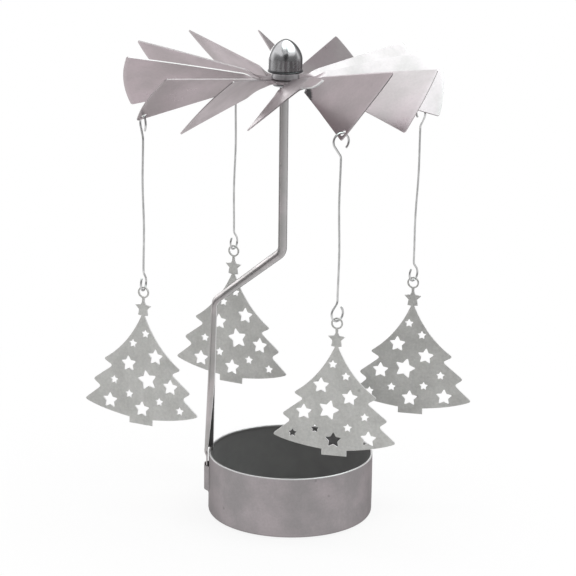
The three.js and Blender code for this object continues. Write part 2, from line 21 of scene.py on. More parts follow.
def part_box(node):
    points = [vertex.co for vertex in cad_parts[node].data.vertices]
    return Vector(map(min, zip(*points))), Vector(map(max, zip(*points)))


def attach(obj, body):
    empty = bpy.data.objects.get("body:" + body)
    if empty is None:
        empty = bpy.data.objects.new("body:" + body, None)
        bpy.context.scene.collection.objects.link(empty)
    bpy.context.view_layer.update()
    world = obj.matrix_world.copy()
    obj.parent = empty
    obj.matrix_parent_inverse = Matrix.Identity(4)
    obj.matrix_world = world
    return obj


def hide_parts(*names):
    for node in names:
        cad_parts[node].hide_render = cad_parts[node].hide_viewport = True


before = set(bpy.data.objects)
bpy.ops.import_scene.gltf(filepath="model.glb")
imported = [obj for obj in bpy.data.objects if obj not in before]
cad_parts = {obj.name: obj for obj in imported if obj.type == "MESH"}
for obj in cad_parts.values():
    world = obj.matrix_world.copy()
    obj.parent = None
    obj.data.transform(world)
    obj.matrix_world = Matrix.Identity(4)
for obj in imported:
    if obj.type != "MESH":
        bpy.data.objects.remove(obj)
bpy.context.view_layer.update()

MM = 0.001
WELD = 1e-7
SHARP_ANGLE = 35
BEVEL_ANGLE = 50
PI = math.pi
UP = np.array([0, 0, 1.0])

# Camera that took the photograph: a long lens, a little above the pan's rim
IMAGE_SIZE = 576
FOCAL_PIXELS = 2614.7
SHIFT_PIXELS = 4.26
SENSOR = 36
CAMERA_DISTANCE = 861.96
CAMERA_ELEVATION = 16.07
CAMERA_ROLL = 0.67
TARGET_Z = 77.63

# Pan
PAN_RADIUS = 27.5
PAN_HEIGHT = 20.8
PAN_WALL = 0.4
PAN_EDGE = 1.4
HEM_WALL = 0.6
HEM_HEIGHT = 0.9
HEM_ROUND = 0.27
# Height over which the hem's fold gets a painted highlight in the edge tone, with a row of points close under
# it
HEM_BRIGHT = PAN_HEIGHT - HEM_ROUND - 0.01
HEM_BAND = 0.07
# Size, count and shift of the slow waves by which the wall strays from round
WALL_WAVES = ((0.07, 3, 0.6), (0.05, 5, 2.1), (0.03, 11, 0))
DENTS = 0.04
POCKET_TOP = 15.9
POCKET_HEIGHT = 8
POCKET_TAPER = 1.8
POCKET_HALF_WIDTH = 2.7
POCKET_DEPTH = 1.4
POCKET_SHEET = 0.4
POCKET_NARROWING = 0.25
POCKET_SPREAD = 0.3
POCKET_EASE = (-0.25, 1.3)
POCKET_SQUARE = 0.75

# Post: the web's outer face runs over two knees, with the channel open towards the flame
POST_SHEET = 0.5
POST_WIDTH = 5
POST_ROUND = 0.85
POST_INNER_ROUND = 0.15
FOLD_LINE = 1.05
FOLD_BAND = 0.15
CUT_ROUND = 0.12
FOOT = (-28.8, 21.1)
KNEE_LOW = (-26.5, 73.4)
KNEE_HIGH = (-4.8, 90.4)
POST_TOP = (-4.8, 144.78)
BEND_RADIUS = 2.4
FLANGE_FOOT = 2.9
FLANGE_KNEE_LOW = 1.75
FLANGE_KNEE_HIGH = 2.35
FLANGE_TOP = 2.9
# Depth of the flange ends as the section is drawn, and of the points close behind them
DRAWN_DEPTH = 3
DRAWN_BRINK = 2.8
TRIMMED_FOOT = 1.15
TRIM_SHARE = 0.48
TONGUE_WIDTH = 4
TONGUE_SHEET = 0.4
TONGUE_LENGTH = 6.4
POST_SWAY = 0.08
# Strength of the post's masks: painted highlight on its brink, and painted shade on its ends and its two
# folds
BRINK_HIGHLIGHT = 0.33
BRINK_HIGHLIGHT_RISE = 0.45
END_SHADE = 0.6
NEAR_FOLD_SHADE = 0.35
FAR_FOLD_SHADE = 0.9

# Wheel
AXIS_X = -3
WHEEL_Z = 147.6
HUB = np.array([AXIS_X, 0, WHEEL_Z])
SHEET = 0.4
HUB_SHEET = 0.5
HUB_RADIUS = 7.4
WHEEL_RADIUS = 51
ROOT_RADIUS = 13.6
BLADE_SLIT = 0.6
BLADE_CORNER = 0.5
FREE_ROOT_SHARE = 0.65
NECK_LIP = 0.3
NECK_OVERLAP = 1.2
FIRST_AZIMUTH = 270.8
TWISTS = (38.8, 45.9, 37.5, 42.4, 47, 45, 45.9, 47.7, 40, 45.8, 39.3, 44.3)
LIFTS = (3.2, 0.5, -1.4, -0.4, -4.6, -5.6, -3.6, -1.6, 1.1, -1, -2.5, -0.7)
TURNS = (-1.9, 0.2, -0.5, -0.2, -0.9, -1, -0.7, -0.5, 0.7, -0.3, 0.7, -0.1)
# How far each free root corner is bent out of its blade, how far each tip reaches past its circle,
# and how much of its arc it keeps
CURLS = (0.2, -0.7, -1.1, -0.9, -0.3, 0.4, -0.3, 0.3, 0.5, 0.7, 0.9, 1.2)
CURL_LENGTH = 7
CURL_WIDTH = 2.4
REACHES = (-0.3, 0, 0, 0.1, 0.1, 0, 0, 0, 0.5, 1.2, 0, 0)
TIP_ARC_SHARES = (0.8, 0.5, 0.6, 1, 1, 0.5, 1, 1, 0.8, 1, 0.7, 0.8)
# Blade whose free root corner has a leaf of painted dark reflection, and blade with a tip corner that droops
DARK_LEAF_BLADE = 1
LEAF_LENGTH = 8.6
LEAF_WIDTH = 4.8
DROOPED_CORNER = 0
DROOP_START = 41
DROOP = 2.4
DROOP_SPREAD = 1.3
# Faint bright burr and painted highlight on each blade's raised edge and tip
BURR_AND_HIGHLIGHT = 0.12
# How far each blade bows across its width
BOWS = (0.3, 0.3, 1.1, 0.3, 0.3, 0.3, 0.3, 0.3, 0.3, 0.3, 0.3, 0.3)
PITCH = 2 * PI / len(TWISTS)
HOLE_RADIUS = 1.1
HOLE_FROM_TIP = 1.7
HOLE_FROM_EDGE = 1.55

# Hub and cap, with their levels taken from the frame, and the gap left where pieces are clinched
CLINCH_GAP = 0.12
NEEDLE_RADIUS = 0.6
RIVET_RADIUS = 1.1
BUSH_BORE = 2.4
BUSH_NECK = 3.2
COLLAR_RADIUS = 4.55
FLARE_RADIUS = 4
FLARE_HEIGHT = 0.5
CAP_RADIUS = 5.45
CAP_WALL = 0.6
CAP_SHOULDER = 6.4
CAP_LIP = 0.3
CAP_LIP_HEIGHT = 0.5
CAP_POWER = 1.7
FLUTES = 10
FLUTE_DEPTH = 0.045
# Heights between which the plating goes from the dull skirt, darker by a painted reflection, to the bright
# dome
SKIRT_LOW = 154.5
SKIRT_HIGH = 157.5

# Wire hooks
WIRE_RADIUS = 0.35
HOOK_SPAN = 54.8
UPPER_BEND = 2.7
UPPER_KNEE = 4.7
LOWER_BEND = 2.4
LOWER_KNEE = 3.5
HOOK_TIP_ANGLE = 138
KNEE_ROUND = 2.2
SHANK_BOW = 0.25
HOLE_ANGLE = 14
SEAT_GAP = 0.3

# Fir-tree plates
PLATE_SHEET = 0.5
PLATE_BEVEL = 0.07
TREE_HALF_WIDTH = 20.4
TREE_HEIGHT = 36.5
RING_RADIUS = 1.95
RING_HOLE = 1.4
STEM_HALF_WIDTH = 0.45
STEM_LENGTH = 0.37
TOP_STAR = 2.94
SMALL_STAR = 1.55
MEDIUM_STAR = 2.9
LARGE_STAR = 3.7
STAR_INNER_SHARE = 0.51
STAR_ROUND_SHARE = 0.08
TREE_CORNER = 1.1

# Hangers: blade, share of the span, sway as a share of the span, headings of the wire's upper and
# lower bends and of the plate's front, and the plate's lean, in degrees, and its size share
Hanger = namedtuple("Hanger", "blade span sway upper lower plate lean size")
HANGERS = (
    Hanger(10, 0.962, -0.001, -68, -107, 157.5, 1.5, 1.01),
    Hanger(7, 1, -0.007, 208, 243, 154.5, 1, 1.07),
    Hanger(1, 1.005, -0.006, 30, 42, -11.5, -0.5, 0.98),
    Hanger(4, 1.01, -0.019, 121, 235, -13.5, 0, 1.035),
)


# Meshes from arrays

def grid_faces(rows, columns, wrap_rows=False, wrap_columns=False, start=0):
    """Quads of a grid of points numbered row by row, closed on itself where a wrap is asked for."""
    row = np.arange(rows if wrap_rows else rows - 1)[:, None]
    column = np.arange(columns if wrap_columns else columns - 1)[None, :]
    next_row = (row + 1) % rows
    next_column = (column + 1) % columns
    corners = (row * columns + column, row * columns + next_column,
               next_row * columns + next_column, next_row * columns + column)
    return np.stack(np.broadcast_arrays(*corners), -1).reshape(-1, 4) + start


def pipe_faces(rows, count):
    """Quads of closed sections carried along rows, and the two end caps."""
    sides = [tuple(face) for face in grid_faces(rows, count, False, True)]
    return sides + [tuple(range(count)), tuple(range((rows - 1) * count, rows * count))]


class Shells:
    """Closed shells gathered for one piece: points in millimetres, faces and material numbers."""

    def __init__(self):
        self.points = []
        self.faces = []
        self.slots = []
        self.masks = {"edge": [], "shade": []}
        self.count = 0

    def add(self, points, faces, slot=0, edge=0, shade=0):
        """Adds a shell with its material numbers, its edge mask of cut edges and painted highlights, and its
        mask of painted shade.
        """
        points = np.asarray(points, float).reshape(-1, 3)
        self.points.append(points)
        self.faces += [tuple(int(i) + self.count for i in face) for face in faces]
        self.slots += list(np.broadcast_to(slot, len(faces)))
        for name, mask in (("edge", edge), ("shade", shade)):
            self.masks[name].append(np.broadcast_to(np.asarray(mask, float).ravel(), len(points)))
        self.count += len(points)
        return self

    def piece(self, name, *materials):
        """Welds the shells into a mesh with outward faces, smooth but for sharp corners."""
        mesh = bpy.data.meshes.new(name)
        mesh.from_pydata(np.concatenate(self.points) * MM, [], self.faces)
        mesh.polygons.foreach_set("material_index", np.array(self.slots, np.int32))
        for label, values in self.masks.items():
            mask = mesh.attributes.new(label, "FLOAT", "POINT")
            mask.data.foreach_set("value", np.concatenate(values).astype(np.float32))
        for material in materials:
            mesh.materials.append(material)
        return finished(mesh, name)


def configure(target, **settings):
    """Sets the named settings of a modifier, node, curve, camera or object, and gives it back."""
    for key, value in settings.items():
        setattr(target, key, value)
    return target


def linked(name, data):
    """New object for a mesh, curve, lamp or camera, linked into the scene."""
    holder = bpy.data.objects.new(name, data)
    bpy.context.scene.collection.objects.link(holder)
    return holder


def shown_mesh(holder):
    """Mesh of an object as its modifiers or its curve make it."""
    shown = holder.evaluated_get(bpy.context.evaluated_depsgraph_get())
    return bpy.data.meshes.new_from_object(shown)


def finished(mesh, name):
    """Merges doubles, turns the faces outwards and marks the corners that stay sharp."""
    bm = bmesh.new()
    bm.from_mesh(mesh)
    bmesh.ops.remove_doubles(bm, verts=bm.verts, dist=WELD)
    bmesh.ops.dissolve_degenerate(bm, edges=bm.edges, dist=WELD)
    bmesh.ops.recalc_face_normals(bm, faces=bm.faces)
    bm.to_mesh(mesh)
    bm.free()
    mesh.polygons.foreach_set("use_smooth", np.ones(len(mesh.polygons), bool))
    mesh.set_sharp_from_angle(angle=math.radians(SHARP_ANGLE))
    mesh.update()
    return linked(name, mesh)


def filleted(corners, radii, steps):
    """Corner points with each corner replaced by an arc of its radius, tangent to both sides:
    the arc's ends lie radius / tan(half angle) from the corner, and its points turn evenly."""
    corners = np.asarray(corners, float)
    count = len(corners)
    share = np.linspace(0, 1, steps + 1)[:, None]
    result = []
    for i in range(count):
        if radii[i] == 0:
            result.append(corners[i:i + 1])
            continue
        back = corners[i - 1] - corners[i]
        ahead = corners[(i + 1) % count] - corners[i]
        back /= np.linalg.norm(back)
        ahead /= np.linalg.norm(ahead)
        half = math.acos(np.clip(back @ ahead, -1, 1)) / 2
        inward = (back + ahead) / np.linalg.norm(back + ahead)
        centre = corners[i] + inward * radii[i] / math.sin(half)
        start = corners[i] + back * radii[i] / math.tan(half) - centre
        end = corners[i] + ahead * radii[i] / math.tan(half) - centre
        sweep = PI - 2 * half
        arc = (np.sin((1 - share) * sweep) * start + np.sin(share * sweep) * end) / math.sin(sweep)
        result.append(centre + arc)
    return np.concatenate(result)


def turned(profile, sides, centre_x=0.0, ring=False):
    """Profile of radius and height carried round the Z axis: x = r cos a, y = r sin a, z = height.
    A ring's profile closes on itself, and any other starts and ends on the axis."""
    angle = round_angles(sides)
    radius = profile[:, :1]
    height = np.broadcast_to(profile[:, 1:], (len(profile), sides))
    points = np.stack([centre_x + radius * np.cos(angle), radius * np.sin(angle), height], -1)
    return points, grid_faces(len(profile), sides, ring, True)


def prism(outline, low, high):
    """Side outline in X and Z carried from one Y to another, with a cap at each end."""
    outline = np.asarray(outline, float)
    width = np.array([low, high])[:, None]
    points = np.stack(np.broadcast_arrays(outline[:, 0], width, outline[:, 1]), -1)
    return points, pipe_faces(2, len(outline))


def smoothstep(value, low, high):
    share = np.clip((value - low) / (high - low), 0, 1)
    return share * share * (3 - 2 * share)


def heading(angle):
    """Level direction at an angle from X, in radians."""
    return np.array([math.cos(angle), math.sin(angle), 0])


def circle(radius, angle):
    """Flat points at one radius, or at a column of them, and at the given angles."""
    return radius * np.stack([np.cos(angle), np.sin(angle)], 1)


def round_angles(sides):
    """Even angles once round, in radians."""
    return np.linspace(0, 2 * PI, sides, endpoint=False)


def eased(start, control, end, steps=9):
    """Quadratic curve from start to end, drawn towards a control point, without its first point."""
    share = np.linspace(0, 1, steps + 1)[1:, None]
    return (1 - share) ** 2 * start + 2 * share * (1 - share) * control + share ** 2 * end


def bevelled(piece, width):
    """Rounds the sheet's cut edges with a Bevel modifier."""
    configure(piece.modifiers.new("cut_edge", "BEVEL"), width=width * MM, segments=2,
              limit_method="ANGLE", angle_limit=math.radians(BEVEL_ANGLE), harden_normals=True)
    return piece


def evened(piece):
    """Keeps flat faces flat in the shading: each corner's normal follows its larger faces."""
    configure(piece.modifiers.new("even_shading", "WEIGHTED_NORMAL"), mode="FACE_AREA", weight=80,
              keep_sharp=True)
    return piece


# Shader node helpers

def fill(tree, node, values):
    """Sets each named or numbered socket of a node to a value, or links another node's socket to it."""
    for key, value in values.items():
        if isinstance(value, bpy.types.NodeSocket):
            tree.links.new(value, node.inputs[key])
        else:
            node.inputs[key].default_value = value


def add_node(tree, kind, values=None, **settings):
    """Shader node with its settings and then its sockets filled."""
    new = configure(tree.nodes.new("ShaderNode" + kind), **settings)
    fill(tree, new, values or {})
    return new


def maths(tree, operation, first, second=0.0, clamp=False):
    return add_node(tree, "Math", {0: first, 1: second}, operation=operation, use_clamp=clamp).outputs[0]


def times(tree, *factors):
    return reduce(lambda first, second: maths(tree, "MULTIPLY", first, second), factors)


def plus(tree, *terms):
    return reduce(lambda first, second: maths(tree, "ADD", first, second), terms)


def less(tree, first, second):
    return maths(tree, "SUBTRACT", first, second)


def mixed(tree, share, first, second):
    values = {"Factor": share, 6: first, 7: second}
    return add_node(tree, "Mix", values, data_type="RGBA").outputs[2]


def ranged(tree, value, low, high, to_low=0.0, to_high=1.0):
    values = {"Value": value, "From Min": low, "From Max": high, "To Min": to_low, "To Max": to_high}
    return add_node(tree, "MapRange", values, interpolation_type="SMOOTHSTEP").outputs[0]


def dotted(tree, direction, axis):
    return add_node(tree, "VectorMath", {0: direction, 1: axis}, operation="DOT_PRODUCT").outputs["Value"]


def noise(tree, place, scale, detail=3, roughness=0.5):
    values = {"Vector": place, "Scale": scale, "Detail": detail, "Roughness": roughness}
    return add_node(tree, "TexNoise", values).outputs[0]


def stretched(tree, place, scale):
    """Coordinates whose pattern is drawn out or pressed together along Z."""
    return add_node(tree, "Mapping", {"Vector": place, "Scale": (1, 1, scale)}).outputs[0]


def attribute(tree, name):
    return add_node(tree, "Attribute", attribute_name=name).outputs["Fac"]


def relief(tree, height, strength, depth):
    values = {"Height": height, "Strength": strength, "Distance": depth * MM}
    return add_node(tree, "Bump", values).outputs[0]


def linear(code, level=1):
    """Colour written as #rrggbb, as the linear values that a socket takes, darkened by a level."""
    values = [int(code[i:i + 2], 16) / 255 for i in (1, 3, 5)]
    return tuple(level * (v / 12.92 if v <= 0.04045 else ((v + 0.055) / 1.055) ** 2.4) for v in values) + (1,)


def node_group(name, inputs, outputs):
    """Shader group whose sockets are a colour or a vector where the label says so, else a number."""
    group = bpy.data.node_groups.new(name, "ShaderNodeTree")
    for side, labels in (("INPUT", inputs), ("OUTPUT", outputs)):
        for label in labels:
            last = label.split()[-1]
            kind = {"Vector": "Vector", "Color": "Color", "Tint": "Color"}.get(last, "Float")
            group.interface.new_socket(label, in_out=side, socket_type="NodeSocket" + kind)
    return group, group.nodes.new("NodeGroupInput").outputs, group.nodes.new("NodeGroupOutput")


# Finishes

def flecks(tree, place):
    """Mask of small scattered pits: the middles of a fifth of the cells of a Voronoi pattern."""
    cells = add_node(tree, "TexVoronoi", {"Vector": place, "Scale": 230, "Randomness": 1})
    spot = ranged(tree, cells.outputs["Distance"], 0.05, 0.16, 1, 0)
    pick = add_node(tree, "SeparateColor", {"Color": cells.outputs["Color"]}).outputs[0]
    return times(tree, spot, maths(tree, "GREATER_THAN", pick, 0.82))


def make_satin_sheet():
    """Rolled tinplate: soft patches between two tints, fine speckle, long rolling streaks and a
    few dark flecks."""
    labels = ("Vector", "Tint", "Second Tint", "Patch Scale", "Grain Scale", "Grain", "Streak", "Fleck",
              "Roughness")
    tree, given, put = node_group("satin_sheet", labels, ("Color", "Roughness", "Height"))
    place = given["Vector"]
    share = ranged(tree, noise(tree, place, given["Patch Scale"], 4, 0.55), 0.32, 0.68)
    grain = noise(tree, place, given["Grain Scale"], 3, 0.7)
    streak = noise(tree, stretched(tree, place, 0.04), 900, 3, 0.6)
    speckle = times(tree, less(tree, grain, 0.5), given["Grain"])
    lines = times(tree, less(tree, streak, 0.5), given["Streak"])
    fleck = flecks(tree, place)
    tone = plus(tree, speckle, lines, less(tree, 1, times(tree, fleck, given["Fleck"])))
    tint = mixed(tree, share, given["Tint"], given["Second Tint"])
    scaled = add_node(tree, "VectorMath", {0: tint, "Scale": tone}, operation="SCALE").outputs[0]
    uneven = times(tree, less(tree, share, 0.5), 0.12)
    faint = times(tree, speckle, 0.4)
    roughness = maths(tree, "ADD", given["Roughness"], plus(tree, uneven, faint), True)
    height = less(tree, plus(tree, faint, lines), times(tree, fleck, 0.3))
    fill(tree, put, {"Color": scaled, "Roughness": roughness, "Height": height})
    return tree


def make_edge_light_and_shade():
    """Sheared edge of a sheet, and painted light: the colour goes to bright, rougher and less
    mirror-like metal where the edge mask is on, which is a real cut edge in places and a painted
    highlight in others, and to a dull dark tone of painted shade where the shade mask is on."""
    labels = ("Color", "Roughness", "Metallic", "Mask", "Edge Color", "Edge Roughness", "Shade")
    tree, given, put = node_group("cut_edge", labels, ("Color", "Roughness", "Metallic"))
    mask, shade, roughness = given["Mask"], given["Shade"], given["Roughness"]
    plain = mixed(tree, shade, given["Color"], linear(PAINTED_SHADE))
    change = times(tree, less(tree, given["Edge Roughness"], roughness), mask)
    duller = maths(tree, "ADD", plus(tree, roughness, change), times(tree, shade, 0.4), True)
    edge_and_shade = maths(tree, "ADD", times(tree, mask, 0.7), shade, True)
    metallic = times(tree, given["Metallic"], less(tree, 1, edge_and_shade))
    colour = mixed(tree, mask, plain, given["Edge Color"])
    fill(tree, put, {"Color": colour, "Roughness": duller, "Metallic": metallic})
    return tree


# Dark tone of painted shade and painted dark reflections
PAINTED_SHADE = "#353334"
EDGE_ROUGHNESS = 0.3
SATIN_SHEET = make_satin_sheet()
EDGE_LIGHT_AND_SHADE = make_edge_light_and_shade()


def new_material(name, metallic, roughness):
    material = bpy.data.materials.new(name)
    material.use_nodes = True
    tree = material.node_tree
    shader = tree.nodes["Principled BSDF"]
    fill(tree, shader, {"Metallic": metallic, "Roughness": roughness})
    return material, tree, shader, add_node(tree, "TexCoord").outputs["Object"]


def satin(name, tint, second, patch=110, grain_scale=2600, grain=0.06, streak=0.04, fleck=0.12,
          roughness=0.4, edge="#e8e8e8", metallic=1, grazing=0.78):
    """Satin sheet material: the shared sheet group, then bright metal on the cut edges and painted
    highlights where the edge mask is on, and painted shade where the shade mask is on.
    """
    material, tree, shader, place = new_material(name, metallic, roughness)
    values = {"Vector": place, "Tint": linear(tint), "Second Tint": linear(second), "Patch Scale": patch,
              "Grain Scale": grain_scale, "Grain": grain, "Streak": streak, "Fleck": fleck,
              "Roughness": roughness}
    sheet = add_node(tree, "Group", values, node_tree=SATIN_SHEET).outputs
    values = {"Color": sheet["Color"], "Roughness": sheet["Roughness"], "Metallic": metallic,
              "Mask": attribute(tree, "edge"), "Shade": attribute(tree, "shade"),
              "Edge Color": linear(edge), "Edge Roughness": EDGE_ROUGHNESS}
    cut = add_node(tree, "Group", values, node_tree=EDGE_LIGHT_AND_SHADE).outputs
    fill(tree, shader, {"Base Color": cut["Color"], "Roughness": cut["Roughness"],
                        "Metallic": cut["Metallic"], "Normal": relief(tree, sheet["Height"], 0.12, 0.05),
                        "Specular Tint": (grazing, grazing - 0.01, grazing - 0.01, 1)})
    return material


def plated(name, colour, outline, roughness):
    """Bright plating: a little haze and turning marks round the axis, and painted dark reflections:
    a darker tone on a duller skirt and where the surface turns away from sight, and a painted dark
    line where the edge mask is on."""
    material, tree, shader, place = new_material(name, 1, roughness)
    marks = noise(tree, stretched(tree, place, 40), 60)
    haze = noise(tree, place, 300)
    tone = mixed(tree, ranged(tree, haze, 0.35, 0.7), linear(colour), linear(colour, 0.86))
    # Painted dark reflection where the surface turns away from sight, then a painted dark line on the edge
    # mask
    turn = add_node(tree, "LayerWeight", {"Blend": 0.5}).outputs["Facing"]
    tone = mixed(tree, ranged(tree, turn, 0.42, 0.68), tone, linear(outline))
    tone = mixed(tree, attribute(tree, "edge"), tone, linear(outline))
    uneven = ranged(tree, haze, 0.3, 0.7, roughness * 0.8, roughness * 1.4)
    height = add_node(tree, "SeparateXYZ", {0: place}).outputs["Z"]
    # Painted darker reflection on the skirt below the dome, which is also made rougher
    skirt = ranged(tree, height, SKIRT_LOW * MM, SKIRT_HIGH * MM, 0.1, 0)
    tone = mixed(tree, times(tree, skirt, 3.5), tone, linear(outline))
    fill(tree, shader, {"Base Color": tone, "Roughness": plus(tree, uneven, skirt),
                        "Normal": relief(tree, marks, 0.1, 0.02)})
    return material


PAN_STEEL = satin("pan_steel", "#9c9597", "#928e8f", patch=85, grain_scale=1200, grain=0.3, fleck=0.22,
                  roughness=0.42, edge="#d8d8d8", grazing=0.5)
PAN_INSIDE = satin("pan_inside", "#999898", "#959494", fleck=0.05, roughness=0.6, edge="#b0b0b0",
                   metallic=0.6)
POST_STEEL = satin("post_steel", "#aca6a7", "#a4a2a1", patch=160, grain_scale=1200, grain=0.25, streak=0.09,
                   roughness=0.36)
# Darker copy of the post steel for the channel's inner faces: painted shade
POST_SHADED_INSIDE = satin("post_inside_shade", "#656364", "#5b5a5a", patch=160, streak=0.06, roughness=0.55)
BLADE_STEEL = satin("blade_steel", "#aca0a4", "#a49b9d", patch=80, grain_scale=1200, grain=0.25, streak=0.02,
                    roughness=0.34, edge="#e4e4e4", metallic=0.85)
PLATE_STEEL = satin("plate_steel", "#cbcbc8", "#c2c2bf", patch=150, grain_scale=1100, grain=0.5, streak=0,
                    fleck=0.3, roughness=0.5, metallic=0.2)
WIRE = satin("drawn_wire", "#c6c6c6", "#bcbcbc", patch=400, grain=0.05, streak=0.05, roughness=0.34)
WASHER_STEEL = satin("washer_steel", "#5c5a5b", "#4e4c4d", patch=300, grain=0.1, streak=0, roughness=0.35)
# Outline tones: the painted dark reflections and painted dark lines of each plating
CAP_PLATING = plated("cap_plating", "#d2d2d4", "#505052", 0.15)
BUSH_PLATING = plated("bush_plating", "#e4e4e6", "#8a8a8c", 0.3)


# Pan

def pan_profile():
    """Cup from the middle of its underside, round the edge, up the wall, over the hem and down."""
    inner = PAN_RADIUS - PAN_WALL
    hem = PAN_RADIUS - HEM_WALL
    hem_low = PAN_HEIGHT - HEM_HEIGHT
    corners = [(0, 0), (PAN_RADIUS, 0), (PAN_RADIUS, PAN_HEIGHT), (hem, PAN_HEIGHT), (hem, hem_low),
               (inner, hem_low), (inner, PAN_WALL), (0, PAN_WALL)]
    return filleted(corners, [0, PAN_EDGE, HEM_ROUND, HEM_ROUND, 0.08, 0.05, PAN_EDGE - PAN_WALL, 0], 8)


def divided(profile, longest):
    """Profile with its long straight stretches cut into steps no longer than a given length."""
    result = [profile[:1]]
    for first, second in zip(profile[:-1], profile[1:]):
        steps = max(1, math.ceil(np.linalg.norm(second - first) / longest))
        share = np.linspace(0, 1, steps + 1)[1:, None]
        result.append(first + (second - first) * share)
    return np.concatenate(result)


def make_pan():
    """Turned cup whose wall strays from round by a few slow sine waves that grow with height."""
    profile = divided(pan_profile(), 2.2)
    under_hem = (PAN_RADIUS, HEM_BRIGHT - HEM_BAND)
    profile = np.insert(profile, np.argmax(profile[:, 1] > HEM_BRIGHT), under_hem, axis=0)
    sides = 288
    points, faces = turned(profile, sides)
    angle = round_angles(sides)
    rise = profile[:, 1:] / PAN_HEIGHT
    stray = sum(size * np.sin(count * angle + shift) for size, count, shift in WALL_WAVES)
    dents = DENTS * np.sin(7 * angle + 1.3) * np.sin(PI * rise)
    points[..., :2] *= (1 + (stray * rise + dents) / PAN_RADIUS)[..., None]
    inside = np.arange(len(profile) - 1) >= np.flatnonzero(profile[:, 1] >= PAN_HEIGHT - HEM_HEIGHT)[-1]
    # The hem's fold gets a painted highlight through the edge mask
    hem = np.repeat(profile[:, 1] > HEM_BRIGHT, sides)
    return Shells().add(points, faces, np.repeat(inside, sides), hem).piece("pan", PAN_STEEL, PAN_INSIDE)


def make_pocket():
    """Pocket pressed out of the wall: a flat-topped rise that eases out of the wall at both sides,
    whose depth and width run out to nothing below in a quarter cosine, thickened into a sheet."""
    across = np.linspace(0.02, PI - 0.02, 33)
    down = np.linspace(0, 1, 30)[:, None]
    total = POCKET_HEIGHT + POCKET_TAPER
    z = POCKET_TOP - total * down
    fade = np.cos(smoothstep(z, POCKET_TOP - total, POCKET_TOP - POCKET_HEIGHT) * PI / 2) ** 2
    depth = POCKET_DEPTH * (1 - fade) + 0.02
    width = POCKET_HALF_WIDTH * (1 - POCKET_NARROWING * fade)
    y = (width + POCKET_SPREAD) * np.sign(np.cos(across)) * np.abs(np.cos(across)) ** POCKET_SQUARE
    wall = np.sqrt(PAN_RADIUS ** 2 - y ** 2) - PAN_WALL / 2
    x = -wall - (depth + PAN_WALL / 2) * smoothstep(width + POCKET_SPREAD - np.abs(y), *POCKET_EASE)
    points = np.stack(np.broadcast_arrays(x, y, z), -1)
    pocket = Shells().add(points, grid_faces(len(down), len(across))).piece("pan_pocket", PAN_STEEL)
    configure(pocket.modifiers.new("sheet", "SOLIDIFY"), thickness=POCKET_SHEET * MM, offset=-1)
    return pocket


# Post

def moved_run(run, depths):
    """Corner points of the run shifted to its right-hand side by two depths on each leg."""
    run = [np.array(corner, float) for corner in run]
    legs = []
    for (near, far), start, end in zip(depths, run[:-1], run[1:]):
        along = (end - start) / np.linalg.norm(end - start)
        right = np.array([along[1], -along[0]])
        legs.append((start + right * near, end + right * far))
    corners = [legs[0][0]]
    for (start, end), (later, last) in zip(legs[:-1], legs[1:]):
        matrix = np.stack([end - start, later - last], 1)
        share = np.linalg.solve(matrix, later - start)[0]
        corners.append(start + (end - start) * share)
    corners.append(legs[-1][1])
    return corners


def channel_section():
    """Closed U outline as depth from the web's outer face and place across, with a point each side
    close behind each flange end, and two points beside the web's far fold, where its painted shade starts."""
    half = POST_WIDTH / 2
    inner = half - POST_SHEET
    end, brink = DRAWN_DEPTH, DRAWN_BRINK
    corners = [(0, -half), (0, FOLD_LINE), (0, FOLD_LINE + FOLD_BAND), (0, half), (brink, half), (end, half),
               (end, inner), (brink, inner), (POST_SHEET, inner), (POST_SHEET, -inner), (brink, -inner),
               (end, -inner), (end, -half), (brink, -half)]
    cut = (0, CUT_ROUND, CUT_ROUND, 0)
    radii = [POST_ROUND, 0, 0, POST_ROUND, *cut, POST_INNER_ROUND, POST_INNER_ROUND, *cut]
    return filleted(corners, radii, 5)


